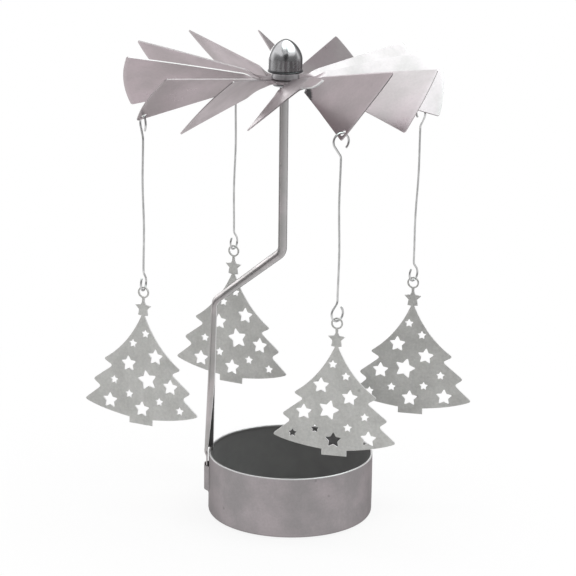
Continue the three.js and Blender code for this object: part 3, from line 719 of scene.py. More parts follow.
def make_post():
    """Channel carried along matched stations of the web's face and the flanges' brink: a point lies
    at its depth on the line between them, and the flange ends move with each flange's own depth."""
    run = [FOOT, KNEE_LOW, KNEE_HIGH, POST_TOP]
    depths = [(FLANGE_FOOT, FLANGE_KNEE_LOW), (FLANGE_KNEE_LOW, FLANGE_KNEE_HIGH), (FLANGE_TOP, FLANGE_TOP)]
    face = filleted(run, [0, BEND_RADIUS + FLANGE_KNEE_LOW, BEND_RADIUS, 0], 14)
    brink = filleted(moved_run(run, depths), [0, BEND_RADIUS, BEND_RADIUS + FLANGE_KNEE_HIGH, 0], 14)
    stations = divided(np.concatenate([face, brink], 1), 2.5)
    face, brink = stations[:, :2], stations[:, 2:]
    span = np.linalg.norm(brink - face, axis=1, keepdims=True)
    inward = (brink - face) / span
    z_face = face[:, 1:]
    height = (z_face - FOOT[1]) / (KNEE_LOW[1] - FOOT[1])
    trimmed = TRIMMED_FOOT + (span - TRIMMED_FOOT) * np.clip(height / TRIM_SHARE, 0, 1)
    section = channel_section()
    deep, side = section.T
    front = side < 0
    reach = np.where(front, np.minimum(trimmed, span), span)
    depth = deep + np.where(deep > DRAWN_DEPTH / 2, reach - DRAWN_DEPTH, 0)
    x = face[:, :1] + inward[:, :1] * depth
    z = z_face + inward[:, 1:] * depth
    y = side + POST_SWAY * np.sin(z_face / 23) + 0 * x
    # Inner faces of the channel take the darker material, painted shade
    inner = (np.abs(side) < POST_WIDTH / 2 - POST_SHEET + 0.06) & (deep > POST_SHEET - 0.01)
    slots = np.tile(inner & np.roll(inner, -1), len(face) - 1)
    edge, shade = post_masks(z_face, deep, side)
    shells = Shells().add(np.stack([x, y, z], -1), pipe_faces(len(face), len(section)), [*slots, 0, 0],
                          edge, shade)
    shells.add(*prism(tongue_outline(), -TONGUE_WIDTH / 2, TONGUE_WIDTH / 2))
    shells.add(*prism(prong_outline(), POST_WIDTH / 2 - POST_SHEET, POST_WIDTH / 2))
    shells.add(*prism(tab_outline(), 0.05 - POST_WIDTH / 2, POST_WIDTH / 2 - 0.05))
    return shells.piece("post_channel", POST_STEEL, POST_SHADED_INSIDE)


def post_masks(height, deep, side):
    """Masks over heights and the section: painted highlights on the flange ends up to the lower knee
    and on the front flange, rising towards its end and with height above it, and painted shade as
    dark lines along the folds and the upper ends."""
    low_leg = height < KNEE_LOW[1] + 3
    slanted = ~low_leg & (height < KNEE_HIGH[1])
    ends = deep > DRAWN_DEPTH - CUT_ROUND - 0.03
    near_fold = (side < 0) & (deep > 0.1) & (deep < 0.4)
    far_fold = (side > FOLD_LINE + FOLD_BAND / 2) & (deep < POST_ROUND)
    lightened_brink = (np.abs(deep - DRAWN_BRINK) < 0.01) & (side < 0.01 - POST_WIDTH / 2)
    higher = np.clip((height - KNEE_HIGH[1]) / (POST_TOP[1] - KNEE_HIGH[1]), 0, 1)
    edge = np.where(low_leg, ends, (BRINK_HIGHLIGHT + BRINK_HIGHLIGHT_RISE * higher) * lightened_brink)
    shade = (END_SHADE * ends + NEAR_FOLD_SHADE * near_fold) * ~low_leg + FAR_FOLD_SHADE * far_fold * slanted
    return edge, shade


def tongue_outline():
    """Side view of the tongue: down from the web, jogged in to the pocket, rounded below."""
    x, z = FOOT
    outer = -PAN_RADIUS - SEAT_GAP - TONGUE_SHEET
    inner = outer + TONGUE_SHEET
    bottom = POCKET_TOP - TONGUE_LENGTH
    corners = [(x + 0.01, z + 0.6), (x + 0.01, z - 0.4), (outer, z - 2), (outer, bottom), (inner, bottom),
               (inner, z - 1.6), (x + POST_SHEET, z + 0.1), (x + POST_SHEET, z + 0.6)]
    return filleted(corners, [0, 0.4, 0.6, 0.12, 0.12, 0.4, 0.3, 0], 5)


def prong_outline():
    """Side view of the prong that stands inside the rim."""
    x, z = FOOT
    outer = -PAN_RADIUS + HEM_WALL + SEAT_GAP
    inner = x + FLANGE_FOOT - CUT_ROUND
    corners = [(outer, z + 0.5), (outer, z - 1), ((outer + inner) / 2, z - 1.5), (inner, z - 1),
               (inner, z + 0.5)]
    return filleted(corners, [0, 0.15, 0.2, 0.15, 0], 4)


def tab_outline():
    """Side view of the tab folded over the post's top."""
    x, z = POST_TOP
    corners = [(x + 0.02, z - POST_SHEET), (x + FLANGE_TOP, z - POST_SHEET), (x + FLANGE_TOP, z + 0.01),
               (x + 0.02, z + 0.01)]
    return filleted(corners, [0, 0.15, 0.15, 0.4], 5)


# Wheel

def blade_frame(index):
    """Flat radial, lifted radial, sideways and rising directions of a blade, and its twist."""
    flat = heading(math.radians(FIRST_AZIMUTH + TURNS[index]) + PITCH * index)
    lift = math.radians(LIFTS[index])
    along = flat * math.cos(lift) + UP * math.sin(lift)
    across = np.cross(UP, flat)
    return flat, along, across, np.cross(along, across), math.radians(TWISTS[index])


def blade_points(index, distance, across, off):
    """Points at a distance along the blade's centre line, a place across it and off its middle:
    the lateral direction turns by the twist, which eases in between the hub and the root."""
    flat, along, side, rise, full = blade_frame(index)
    distance, across, off = (a[..., None] for a in np.broadcast_arrays(distance, across, off))
    twist = full * smoothstep(distance, HUB_RADIUS, ROOT_RADIUS)
    lateral = side * np.cos(twist) + rise * np.sin(twist)
    normal = np.cross(np.broadcast_to(along, lateral.shape), lateral)
    inner = np.minimum(distance, HUB_RADIUS)
    return flat * inner + along * (distance - inner) + lateral * across + normal * off


def sector_half(distance):
    return distance * math.tan(PITCH / 2) - BLADE_SLIT / 2


def blade_outline(index):
    """Rows of a blade as distance and place across: neck rows on the raised half, then rows of the
    full width to the tip's arc. Each row's place goes from the free side (-1) to the raised (1)."""
    share = np.concatenate([[-1, -0.985], np.linspace(-0.96, 0.96, 23), [0.985, 1]])
    neck = np.linspace(HUB_RADIUS - NECK_OVERLAP, ROOT_RADIUS, 15)[:, None]
    neck_across = -NECK_LIP + (sector_half(neck) + NECK_LIP) * (share + 1) / 2
    tip_angle = math.asin(sector_half(WHEEL_RADIUS) / WHEEL_RADIUS)
    root = ROOT_RADIUS + SHEET / 2
    rounding = np.clip((np.abs(share) - 0.96) / 0.04, 0, 1) ** 2 * BLADE_CORNER
    arc = WHEEL_RADIUS * (np.cos(share * tip_angle) - math.cos(tip_angle))
    tip = WHEEL_RADIUS * math.cos(tip_angle) + arc * TIP_ARC_SHARES[index] + REACHES[index] - rounding
    start = root + np.where(share < 0, rounding * 2.5, 0)
    along = np.linspace(0, 1, 34)[:, None] ** 1.25
    body = start + (tip - start) * along
    tip_across = WHEEL_RADIUS * np.sin(share * tip_angle)
    root_across = share * sector_half(root) * np.where(share < 0, FREE_ROOT_SHARE, 1)
    body_across = root_across + (tip_across - root_across) * along
    distance = np.concatenate([neck + 0 * share, body])
    return distance, np.concatenate([neck_across, body_across]), share


def curl(index, distance, across):
    """How far the sheet bows off its plane: the free root corner is bent by a square of its
    nearness to the root, and the blade has slow hand-made waves along and across it."""
    beyond = np.clip((ROOT_RADIUS + CURL_LENGTH - distance) / CURL_LENGTH, 0, 1)
    free = np.clip(-across / CURL_WIDTH, 0, 1.4)
    corner = CURLS[index] * beyond ** 2 * free ** 1.5 * (distance > ROOT_RADIUS)
    outer = smoothstep(distance, ROOT_RADIUS, WHEEL_RADIUS)
    wave = np.sin(distance / 7.3 + 1.9 * index) * 0.05 + np.sin(across / 4.1 + 2.3 * index) * 0.05
    return corner + (wave - BOWS[index] * ((across / 13) ** 2 - 0.4)) * outer


def painted_dark_leaf(distance, across):
    """Mask of a painted dark reflection at a free root corner: a leaf-shaped triangle with soft sides."""
    along = (distance - ROOT_RADIUS) / LEAF_LENGTH
    width = LEAF_WIDTH * (1 - along) * (0.6 + 0.8 * along)
    free = -FREE_ROOT_SHARE * sector_half(ROOT_RADIUS) - 0.295 * (distance - ROOT_RADIUS)
    leaf = smoothstep(width - (across - free), 0, 0.35)
    return leaf * (distance > ROOT_RADIUS) * (along < 1)


def blade_shell(index):
    """One blade as a closed grid: the outline's rows above and below the curled middle surface."""
    distance, across, share = blade_outline(index)
    bow = curl(index, distance, across)
    droop = (index == DROOPED_CORNER) * smoothstep(distance, DROOP_START, WHEEL_RADIUS)
    bow = bow - DROOP * droop * smoothstep(share, 0.5, 0.88)
    across = across + DROOP_SPREAD * droop * smoothstep(share, 0.8, 1)
    layers = [blade_points(index, distance, across, bow + side * SHEET / 2) for side in (1, -1)]
    rows, columns = distance.shape
    under = rows * columns
    number = np.arange(under).reshape(rows, columns)
    rim = np.concatenate([number[0, :-1], number[:-1, -1], number[-1, :0:-1], number[:0:-1, 0]])
    ahead = np.roll(rim, -1)
    wall = np.stack([rim, ahead, ahead + under, rim + under], 1)
    faces = np.concatenate([grid_faces(rows, columns), grid_faces(rows, columns, start=under), wall])
    # Edge mask: a faint burr and painted highlight on the raised edge and tip, and a strong painted highlight
    # on the drooped tip corner
    cut = np.zeros((rows, columns))
    cut[:, -1] = BURR_AND_HIGHLIGHT
    cut[-1] = np.maximum(BURR_AND_HIGHLIGHT, smoothstep(share, 0.5, 0.7) * (index == DROOPED_CORNER))
    shade = painted_dark_leaf(distance, across) * (index == DARK_LEAF_BLADE)
    return np.stack(layers), faces, np.tile(cut.ravel(), 2), np.tile(shade.ravel(), 2)


def hook_hole(index):
    """Place of a blade's hook hole, and the direction it is pierced in."""
    distance = (WHEEL_RADIUS - HOLE_FROM_TIP) * math.cos(PITCH / 2)
    across = HOLE_FROM_EDGE + BLADE_SLIT / 2 - distance * math.tan(PITCH / 2)
    middle, above = (blade_points(index, distance, across, off) for off in (0.0, 1.0))
    return middle + HUB, above - middle


def pierced(piece, places):
    """Cuts a round hole at each place and direction, and keeps the result as the piece's mesh."""
    mesh = bpy.data.meshes.new("drill")
    bm = bmesh.new()
    for centre, direction in places:
        turn = Vector(UP).rotation_difference(Vector(direction)).to_matrix().to_4x4()
        bmesh.ops.create_cone(bm, cap_ends=True, segments=40, radius1=HOLE_RADIUS * MM,
                              radius2=HOLE_RADIUS * MM, depth=4 * SHEET * MM,
                              matrix=Matrix.Translation(Vector(centre * MM)) @ turn)
    bm.to_mesh(mesh)
    bm.free()
    drill = linked("drill", mesh)
    configure(piece.modifiers.new("holes", "BOOLEAN"), operation="DIFFERENCE", object=drill,
              solver="EXACT", use_self=True)
    pierced_mesh = shown_mesh(piece)
    piece.modifiers.clear()
    piece.data = pierced_mesh
    bpy.data.objects.remove(drill)
    return piece


def make_wheel():
    """Disc with a bore and twelve blades, pierced for the hooks."""
    bore = BUSH_NECK + 0.3
    half = HUB_SHEET / 2
    ring = filleted([(bore, -half), (HUB_RADIUS, -half), (HUB_RADIUS, half), (bore, half)],
                    [0.08] * 4, 3)
    points, faces = turned(ring, 96, ring=True)
    shells = Shells().add(points + HUB, faces)
    for index in range(len(TWISTS)):
        points, faces, cut, shade = blade_shell(index)
        shells.add(points + HUB, faces, edge=cut, shade=shade)
    wheel = shells.piece("wheel_sheet", BLADE_STEEL)
    return bevelled(pierced(wheel, [hook_hole(hanger.blade) for hanger in HANGERS]), 0.11)


# Hub and cap

def make_cap():
    """Bell cap: a skirt with a lip under a superellipse dome, inside and outside."""
    low, high = (corner[2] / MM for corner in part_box("dome_cap"))
    shoulder = high - CAP_SHOULDER
    angle = np.linspace(0, PI / 2, 48)[:, None]

    def dome(radius, rise):
        reach = np.cos(angle) ** (2 / CAP_POWER)
        reach[-1] = 0
        return np.concatenate([radius * reach, shoulder + rise * np.sin(angle) ** (2 / CAP_POWER)], 1)

    inner = CAP_RADIUS - CAP_WALL
    lip = CAP_RADIUS + CAP_LIP
    lip_top = low + CAP_LIP_HEIGHT
    corners = [(inner, shoulder), (inner, low), (lip, low), (lip, lip_top), (CAP_RADIUS, lip_top),
               (CAP_RADIUS, shoulder)]
    skirt = filleted(corners, [0, 0.12, 0.15, 0.15, 0.1, 0], 5)[:-1]
    inside = dome(inner, CAP_SHOULDER - CAP_WALL)[:0:-1]
    profile = divided(np.concatenate([inside, skirt, dome(CAP_RADIUS, CAP_SHOULDER)]), 0.5)
    sides = 240
    points, faces = turned(profile, sides, AXIS_X)
    # The lip's edge mask gives the plating a painted dark line there
    on_lip = (profile[:, 1] < lip_top + 0.15) & (profile[:, 0] > CAP_RADIUS - 0.05)
    shells = Shells().add(fluted(points, shoulder, high), faces, edge=np.repeat(on_lip, sides))
    return shells.piece("bell_cap", CAP_PLATING)


def fluted(points, shoulder, high):
    """Shallow pinches round the dome: each point moves inwards by a cosine of its angle, most
    half-way up and not at all at the shoulder and the point."""
    out = points[..., :2] - (AXIS_X, 0)
    angle = np.arctan2(out[..., 1], out[..., 0])
    rise = np.clip((points[..., 2] - shoulder - 0.5) / (high - shoulder - 0.9), 0, 1)
    depth = FLUTE_DEPTH * (1 - np.cos(FLUTES * angle + 0.7)) * np.sin(PI * rise) ** 2
    reach = np.maximum(np.linalg.norm(out, axis=-1), 0.1)
    points[..., :2] -= out * (depth / reach)[..., None]
    return points


def turned_piece(name, material, corners, radii, steps, sides, ring=True):
    """Piece turned round the wheel's axis from the corners of its section and their radii."""
    profile = filleted(corners, radii, steps)
    return Shells().add(*turned(profile, sides, AXIS_X, ring)).piece(name, material)


def make_bush():
    """Collar, neck and flare of the bush, with a hollow in the collar's side."""
    low, high = (corner[2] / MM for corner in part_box("hub_bush"))
    flare = low + FLARE_HEIGHT
    collar = WHEEL_Z + HUB_SHEET / 2 + CLINCH_GAP
    corners = [(BUSH_BORE, low), (FLARE_RADIUS, low), (FLARE_RADIUS, flare), (BUSH_NECK, flare),
               (BUSH_NECK, collar), (COLLAR_RADIUS, collar), (COLLAR_RADIUS - 0.18, (collar + high) / 2),
               (COLLAR_RADIUS, high), (BUSH_BORE, high)]
    radii = [0.1, 0.15, 0.1, 0.08, 0.08, 0.2, 2.5, 0.2, 0.15]
    return turned_piece("bush", BUSH_PLATING, corners, radii, 6, 128)


def make_washer():
    """Flat washer with rounded edges."""
    low, high = (corner[2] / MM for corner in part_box("hub_washer"))
    inner = BUSH_NECK + CLINCH_GAP
    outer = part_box("hub_washer")[1][0] / MM - AXIS_X
    corners = [(inner, low), (outer, low), (outer, high), (inner, high)]
    return turned_piece("washer", WASHER_STEEL, corners, [0.1, 0.25, 0.25, 0.1], 5, 96)


def make_needle():
    """Needle with a rivet head under the tab, a rounded shoulder over it and a fine point."""
    low, high = (corner[2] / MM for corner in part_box("pivot_needle"))
    tab = POST_TOP[1]
    under = tab - POST_SHEET - CLINCH_GAP
    over = tab + CLINCH_GAP
    corners = [(0, low), (RIVET_RADIUS, low), (RIVET_RADIUS, under), (NEEDLE_RADIUS, under),
               (NEEDLE_RADIUS, over), (RIVET_RADIUS, over), (RIVET_RADIUS, over + 0.25),
               (NEEDLE_RADIUS, over + 0.5), (NEEDLE_RADIUS, high - 1.8), (0.12, high), (0, high)]
    radii = [0, 0.3, 0.08, 0.05, 0.05, 0.1, 0.1, 0.1, 0.3, 0.05, 0]
    return turned_piece("needle", BUSH_PLATING, corners, radii, 4, 64, False)


# Hooks and plates

def hanger_places(hanger):
    """Centres of the wire's upper and lower bends and of the plate's ring."""
    side = heading(math.radians(hanger.upper))
    tilt = math.radians(HOLE_ANGLE)
    hole = hook_hole(hanger.blade)[0]
    upper = hole - side * UPPER_BEND * math.sin(tilt) - UP * UPPER_BEND * math.cos(tilt)
    lower = upper - UP * HOOK_SPAN * hanger.span + (HOOK_SPAN * hanger.sway, 0, 0)
    ring = lower - UP * LOWER_BEND + UP * (WIRE_RADIUS + SEAT_GAP - RING_HOLE)
    return upper, lower, ring


def bend(centre, turn, pole, radius, knee):
    """C-bend: an arc from the tip over the pole to where it leaves along the tangent to the knee
    on the shank, and a small arc at the knee."""
    side = heading(math.radians(turn))
    pole = UP * pole
    leaving = math.acos(radius / knee) - PI
    angle = np.linspace(math.radians(HOOK_TIP_ANGLE), leaving, 42)[:, None]
    arc = centre + radius * (side * np.sin(angle) + pole * np.cos(angle))
    corner = centre - pole * knee
    before = arc[-1] - corner
    start = corner + before / np.linalg.norm(before) * KNEE_ROUND * WIRE_RADIUS
    end = corner - pole * KNEE_ROUND * WIRE_RADIUS
    return np.concatenate([arc, start[None], eased(start, corner, end, 8)])


def tube(path, radius, sides):
    """Round section carried along a path in frames that don't spin, with half-round ends."""
    step = np.gradient(path, axis=0)
    tangent = step / np.linalg.norm(step, axis=1)[:, None]
    normal = np.cross(tangent[0], [0.3, 0.5, 0.8])
    normals = []
    for direction in tangent:
        normal = normal - direction * (normal @ direction)
        normal = normal / np.linalg.norm(normal)
        normals.append(normal)
    normals = np.array(normals)
    other = np.cross(tangent, normals)
    cap = np.linspace(0, PI / 2, 5)
    spread = np.concatenate([np.sin(cap), np.ones(len(path) - 2), np.sin(cap[::-1])])
    shift = np.concatenate([-np.cos(cap), np.zeros(len(path) - 2), np.cos(cap[::-1])]) * radius * 0.5
    pick = np.concatenate([np.zeros(5, int), np.arange(1, len(path) - 1), np.full(5, len(path) - 1)])
    centre = path[pick] + tangent[pick] * shift[:, None]
    angle = round_angles(sides)[:, None]
    section = normals[pick][:, None] * np.cos(angle) + other[pick][:, None] * np.sin(angle)
    points = centre[:, None] + section * radius * spread[:, None, None]
    return points, grid_faces(len(pick), sides, False, True)


def make_hook(number, hanger):
    """Wire from the tip of the upper bend, down a shank with a slight bow, to the lower tip."""
    upper, lower, _ = hanger_places(hanger)
    top = bend(upper, hanger.upper, 1, UPPER_BEND, UPPER_KNEE)
    bottom = bend(lower, hanger.lower, -1, LOWER_BEND, LOWER_KNEE)[::-1]
    share = np.linspace(0, 1, 40)[1:-1]
    shank = top[-1] + (bottom[0] - top[-1]) * share[:, None]
    shank[:, 0] += SHANK_BOW * np.sin(2 * PI * share) * np.sin(PI * share) * (-1) ** number
    path = np.concatenate([top, shank, bottom])
    return Shells().add(*tube(path, WIRE_RADIUS, 20)).piece(f"wire_hook_{number}", WIRE)


# Tree outline, right half: [across, down] as shares of the half width and of the height
NECK_SHARE = (0.026, -0.01)
SIDE_CONTROL_SHARE = (0.24, 0.27)
TIER_SHARES = ((0.675, 0.44), (0.51, 0.492), (0.855, 0.643), (0.71, 0.702), (1, 0.843))
HEM_CONTROL_SHARE = (0.69, 0.915)
TRUNK_SHARE = (0.2, 0.945)
# Stars cut through: place as the same shares, radius and turn in degrees
STAR_SHARES = (
    (-0.049, 0.153, SMALL_STAR, 0), (0.163, 0.257, SMALL_STAR, 0), (-0.231, 0.354, MEDIUM_STAR, 0),
    (0.233, 0.45, MEDIUM_STAR, -4), (-0.499, 0.612, MEDIUM_STAR, 0), (-0.1, 0.578, LARGE_STAR, -14),
    (0.481, 0.622, SMALL_STAR, 0), (-0.315, 0.763, SMALL_STAR, 0), (0.212, 0.732, SMALL_STAR, 0),
    (-0.674, 0.818, SMALL_STAR, 0), (-0.015, 0.856, MEDIUM_STAR, 0), (0.548, 0.82, MEDIUM_STAR, 0),
)
APEX_Y = -(RING_RADIUS + STEM_LENGTH + 2 * TOP_STAR)


def on_tree(share):
    return np.array([share[0] * TREE_HALF_WIDTH, APEX_Y - share[1] * TREE_HEIGHT])


def star(centre, radius, turn=0.0):
    """Five-pointed star: ten points whose reach goes to and fro between two radii."""
    angle = math.radians(turn) + PI / 2 + PI / 5 * np.arange(10)
    reach = np.where(np.arange(10) % 2 == 0, radius, radius * STAR_INNER_SHARE)
    return circle(reach[:, None], angle) + centre


def blunted(outline, radius):
    """Star outline as a worn punch cuts it, with its points rounded more than its inner corners."""
    rounds = [radius * STAR_ROUND_SHARE, radius * STAR_ROUND_SHARE / 2] * 5
    return filleted(outline, rounds, 4)


def tree_outline():
    """Whole outline: ring, stem, star on the tip, the three tiers and the trunk, then mirrored."""
    ring = circle(RING_RADIUS, np.linspace(PI / 2, math.asin(STEM_HALF_WIDTH / RING_RADIUS) - PI / 2, 30))
    tip = star((0, APEX_Y + TOP_STAR), TOP_STAR)
    spike = tip[0] + (tip[9] - tip[0]) * STEM_HALF_WIDTH / tip[9][0]
    neck = on_tree(NECK_SHARE)
    points = [ring, spike[None], tip[:5:-1], neck[None]]

    def near(corner, other):
        return corner + (other - corner) / np.linalg.norm(other - corner) * TREE_CORNER

    corners = [on_tree(share) for share in (SIDE_CONTROL_SHARE, *TIER_SHARES, HEM_CONTROL_SHARE)]
    for before, corner, after in zip(corners, corners[1:], corners[2:]):
        start, end = near(corner, before), near(corner, after)
        points.append(eased(neck, before, start, 16) if before is corners[0] else start[None])
        points.append(eased(start, corner, end, 6))
    trunk = on_tree(TRUNK_SHARE)
    foot = on_tree((0, 1))
    points += [eased(end, corners[-1], trunk, 14), np.array([[trunk[0], foot[1]], foot])]
    half = np.concatenate(points)
    return np.concatenate([half, half[1:-1][::-1] * (-1, 1)])


def plate_mesh(outlines):
    """Flat sheet with holes: filled outlines with half the sheet either side and a rounded cut."""
    curve = configure(bpy.data.curves.new("outline", "CURVE"), dimensions="2D", fill_mode="BOTH",
                      extrude=PLATE_SHEET / 2 - PLATE_BEVEL, bevel_depth=PLATE_BEVEL,
                      bevel_resolution=1, offset=-PLATE_BEVEL)
    for outline in outlines:
        spline = curve.splines.new("POLY")
        spline.points.add(len(outline) - 1)
        flat = np.concatenate([outline, np.full((len(outline), 2), (0, 1))], 1)
        spline.points.foreach_set("co", flat.ravel())
        spline.use_cyclic_u = True
    holder = linked("outline", curve)
    mesh = shown_mesh(holder)
    bpy.data.objects.remove(holder)
    return mesh


def make_tree(number, hanger):
    """Fir-tree plate in its own plane, then leaned, stood up, turned and hung from its ring."""
    eye = circle(RING_HOLE, round_angles(40))
    stars = [blunted(star(on_tree((across, down)), radius, turn), radius)
             for across, down, radius, turn in STAR_SHARES]
    mesh = plate_mesh([outline * hanger.size for outline in (tree_outline(), eye, *stars)])
    flat = np.zeros(len(mesh.vertices) * 3)
    mesh.vertices.foreach_get("co", flat)
    flat = flat.reshape(-1, 3)
    on_side = (np.abs(flat[:, 2]) < PLATE_SHEET / 2 - 1e-4).astype(np.float32)
    mesh.attributes.new("edge", "FLOAT", "POINT").data.foreach_set("value", on_side)
    turn = (Matrix.Rotation(math.radians(hanger.plate), 3, "Z") @ Matrix.Rotation(PI / 2, 3, "X")
            @ Matrix.Rotation(math.radians(hanger.lean), 3, "Z"))
    placed = (flat @ np.array(turn).T + hanger_places(hanger)[2]) * MM
    mesh.vertices.foreach_set("co", placed.ravel())
    mesh.materials.clear()
    mesh.materials.append(PLATE_STEEL)
    return finished(mesh, f"fir_tree_{number}")


# Pieces on their bodies

def place(piece, body, slot, *nodes):
    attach(evened(piece), body)
    if nodes:
        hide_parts(*nodes)


place(make_pan(), "stand", "steel", "candle_pan")
place(make_pocket(), "stand", "steel")
place(bevelled(make_post(), 0.05), "stand", "steel", "post")
place(make_needle(), "stand", "chrome", "pivot_needle")
place(make_wheel(), "wheel", "blade_steel", "fan_wheel")
place(make_cap(), "wheel", "chrome", "dome_cap")
place(make_bush(), "wheel", "chrome", "hub_bush")
place(make_washer(), "wheel", "steel", "hub_washer")
for number, hanger in enumerate(HANGERS, 1):
    place(make_hook(number, hanger), f"hanger_{number}", "wire", f"hook_{number}")
    place(make_tree(number, hanger), f"plate_{number}", "plate_steel", f"tree_{number}")


# Stage, light and camera

FLOOR_RADIUS = 725
FAR_FLOOR = 0.42
LENS_CARD = 300
# Degrees of the lens above the horizon as the cap sees it, headings of the dark booms over it, and
# how much of the light they take
LENS_RISE = 31
BOOMS = (70, 91, 121)
BOOM_DARK = 0.75
OVERHEAD = (0.255, 0.045, 0.966)
OVERHEAD_GLOW = 2.7
DIM_CORNER = (0.45, 0.88, 0.1)
DIM_LEVEL = 0.5
MATT_LEVEL = 0.62
WHITE = (1, 1, 1, 1)
GLOW_TINT = (0.865, 1, 0.965, 1)
SHADOW_REACH = 70


def stage_mesh(name, ring):
    """Flat stage piece from a ring of points in millimetres, with a fresh material's node tree."""
    mesh = bpy.data.meshes.new(name)
    mesh.from_pydata(np.asarray(ring, float) * MM, [], [tuple(range(len(ring)))])
    stage = linked(name, mesh)
    material = bpy.data.materials.new(name)
    material.use_nodes = True
    mesh.materials.append(material)
    material.node_tree.nodes.clear()
    return stage, material.node_tree


def sight(tree):
    """Whether a ray comes from the camera, and whether it comes from a glossy surface."""
    path = add_node(tree, "LightPath").outputs
    return path["Is Camera Ray"], maths(tree, "MAXIMUM", path["Is Glossy Ray"], path["Is Transmission Ray"])


def make_floor():
    """Round pale sheet under the stand: it keeps the shadow close in and is plain white far out.
    Gloss sees it a little brighter towards the left, as from a window on that side, and dim at
    its far edge, where the table ends."""
    ring = circle(FLOOR_RADIUS, round_angles(128))
    _, tree = stage_mesh("pale_floor", np.insert(ring, 2, -0.05, 1))
    place = add_node(tree, "TexCoord").outputs["Object"]
    reach = add_node(tree, "VectorMath", {0: place}, operation="LENGTH").outputs["Value"]
    camera, gloss = sight(tree)
    seen = times(tree, camera, ranged(tree, reach, SHADOW_REACH * MM, 3 * SHADOW_REACH * MM, 0.86, 1))
    near = times(tree, gloss, ranged(tree, reach, 0.028, 0.045, 0.75, 1))
    across = add_node(tree, "SeparateXYZ", {0: place}).outputs["X"]
    far = ranged(tree, reach, 0.51, 0.535, 1, FAR_FLOOR)
    mirrored = times(tree, far, ranged(tree, across, -0.17, 0.07, 1.28, 1.16))
    strength = plus(tree, 1, times(tree, less(tree, mirrored, 1), gloss))
    matt = add_node(tree, "BsdfDiffuse", {"Color": (0.9, 0.9, 0.9, 1)}).outputs[0]
    white = add_node(tree, "Emission", {"Color": WHITE, "Strength": strength}).outputs[0]
    share = maths(tree, "MAXIMUM", seen, near)
    both = add_node(tree, "MixShader", {0: share, 1: matt, 2: white}).outputs[0]
    add_node(tree, "OutputMaterial", {"Surface": both})


def make_lens_card():
    """Dark keyhole card round the lens and its stand, seen only in the polished metal."""
    y = -CAMERA_DISTANCE * math.cos(math.radians(CAMERA_ELEVATION)) - 20
    head = np.insert(circle(LENS_CARD, np.linspace(-0.35 * PI, 1.35 * PI, 48)), 1, y, 1) + (0, 0, 660)
    foot = [(-75, y, 1), (-60, -540, 1), (60, -540, 1), (75, y, 1)]
    card, tree = stage_mesh("lens_card", np.concatenate([head, foot]))
    dark = add_node(tree, "Emission", {"Color": WHITE, "Strength": 0.03}).outputs[0]
    add_node(tree, "OutputMaterial", {"Surface": dark})
    configure(card, visible_camera=False, visible_diffuse=False, visible_shadow=False)


def boom_mask(tree, direction, boom):
    """Mask of a straight dark boom that starts over the lens and runs up overhead: directions close
    to the plane through the lens at this heading, from a little off the lens to far over it."""
    rise = math.radians(LENS_RISE)
    turn = math.radians(boom)
    right = np.array([1, 0, 0])
    upward = np.array([0, math.sin(rise), math.cos(rise)])
    along = right * math.cos(turn) + upward * math.sin(turn)
    aside = upward * math.cos(turn) - right * math.sin(turn)
    off, far = (dotted(tree, direction, axis.tolist()) for axis in (aside, along))
    band = ranged(tree, maths(tree, "ABSOLUTE", off), 0.04, 0.09, 1, 0)
    return times(tree, band, ranged(tree, far, 0.2, 0.4))


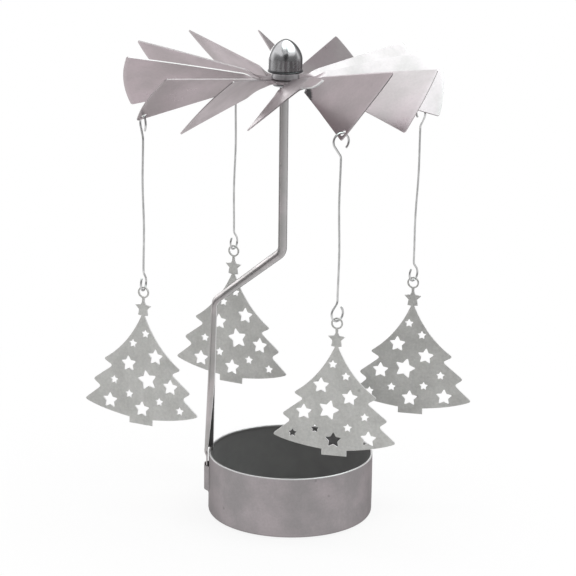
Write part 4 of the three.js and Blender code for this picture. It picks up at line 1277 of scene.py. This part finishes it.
def make_world():
    """Even studio surroundings: white all round but low in front, where only the camera sees white.
    Gloss sees the left side a little brighter than the right, and a large cool glow overhead that
    fades out evenly, with a dimmer corner of the room behind on the right."""
    world = bpy.data.worlds.new("studio")
    bpy.context.scene.world = world
    world.use_nodes = True
    tree = world.node_tree
    tree.nodes.clear()
    direction = add_node(tree, "TexCoord").outputs["Generated"]
    parts = add_node(tree, "SeparateXYZ", {0: direction}).outputs
    camera, gloss = sight(tree)
    side = ranged(tree, parts["X"], -0.8, 0.8, 1.08, 0.92)
    glow = ranged(tree, dotted(tree, direction, OVERHEAD), 0.745, 0.865)
    behind = ranged(tree, dotted(tree, direction, DIM_CORNER), 0.6, 0.93, 1, DIM_LEVEL)
    bright = plus(tree, times(tree, side, behind), times(tree, glow, OVERHEAD_GLOW))
    level = plus(tree, MATT_LEVEL, times(tree, gloss, less(tree, bright, MATT_LEVEL)))
    lit = maths(tree, "MAXIMUM", ranged(tree, parts["Z"], 0.44, 0.52), ranged(tree, parts["Y"], -0.3, 0.3))
    surroundings = times(tree, ranged(tree, lit, 0, 1, 0.26, 1), level)
    in_front = ranged(tree, parts["Y"], -0.25, 0, 1, 0)
    for boom in BOOMS:
        dark = times(tree, boom_mask(tree, direction, boom), in_front, BOOM_DARK)
        surroundings = times(tree, surroundings, less(tree, 1, dark))
    strength = maths(tree, "MAXIMUM", surroundings, camera)
    tint = mixed(tree, times(tree, glow, gloss), WHITE, GLOW_TINT)
    background = add_node(tree, "Background", {"Color": tint, "Strength": strength}).outputs[0]
    add_node(tree, "OutputWorld", {"Surface": background})


def area_light(name, place, aim, size, radiance):
    """Softbox whose face shows the given radiance: power = pi times area times radiance."""
    light = bpy.data.lights.new(name, "AREA")
    light.shape = "RECTANGLE"
    light.size = size[0] * MM
    light.size_y = size[1] * MM
    light.energy = PI * light.size * light.size_y * radiance
    lamp = linked(name, light)
    lamp.location = Vector(place) * MM
    lamp.rotation_euler = (Vector(aim) - Vector(place)).to_track_quat("-Z", "Y").to_euler()
    lamp.visible_camera = False
    return lamp


def make_camera():
    """Camera at the photograph's height and angle, with the photograph's small roll and shift."""
    camera = configure(bpy.data.cameras.new("camera"), sensor_fit="HORIZONTAL", sensor_width=SENSOR,
                       lens=FOCAL_PIXELS / IMAGE_SIZE * SENSOR, shift_x=-SHIFT_PIXELS / IMAGE_SIZE,
                       clip_start=0.01)
    holder = linked("camera", camera)
    elevation = math.radians(CAMERA_ELEVATION)
    forward = Vector((0, math.cos(elevation), -math.sin(elevation)))
    holder.location = (Vector((0, 0, TARGET_Z)) - forward * CAMERA_DISTANCE) * MM
    facing = forward.to_track_quat("-Z", "Y").to_matrix().to_4x4()
    roll = Matrix.Rotation(math.radians(CAMERA_ROLL), 4, "Z")
    holder.rotation_euler = (facing @ roll).to_euler()
    bpy.context.scene.camera = holder


make_floor()
make_world()
make_lens_card()
softbox = area_light("overhead_softbox", (70, -15, 717), (70, -15, 0), (1000, 650), 2.4)
softbox.visible_glossy = False
strip = area_light("rear_strip", (-177, 576, 124), (-15, 0, 82), (260, 160), 2.6)
strip.visible_diffuse = False
make_camera()
bpy.context.scene.view_settings.view_transform = "Standard"
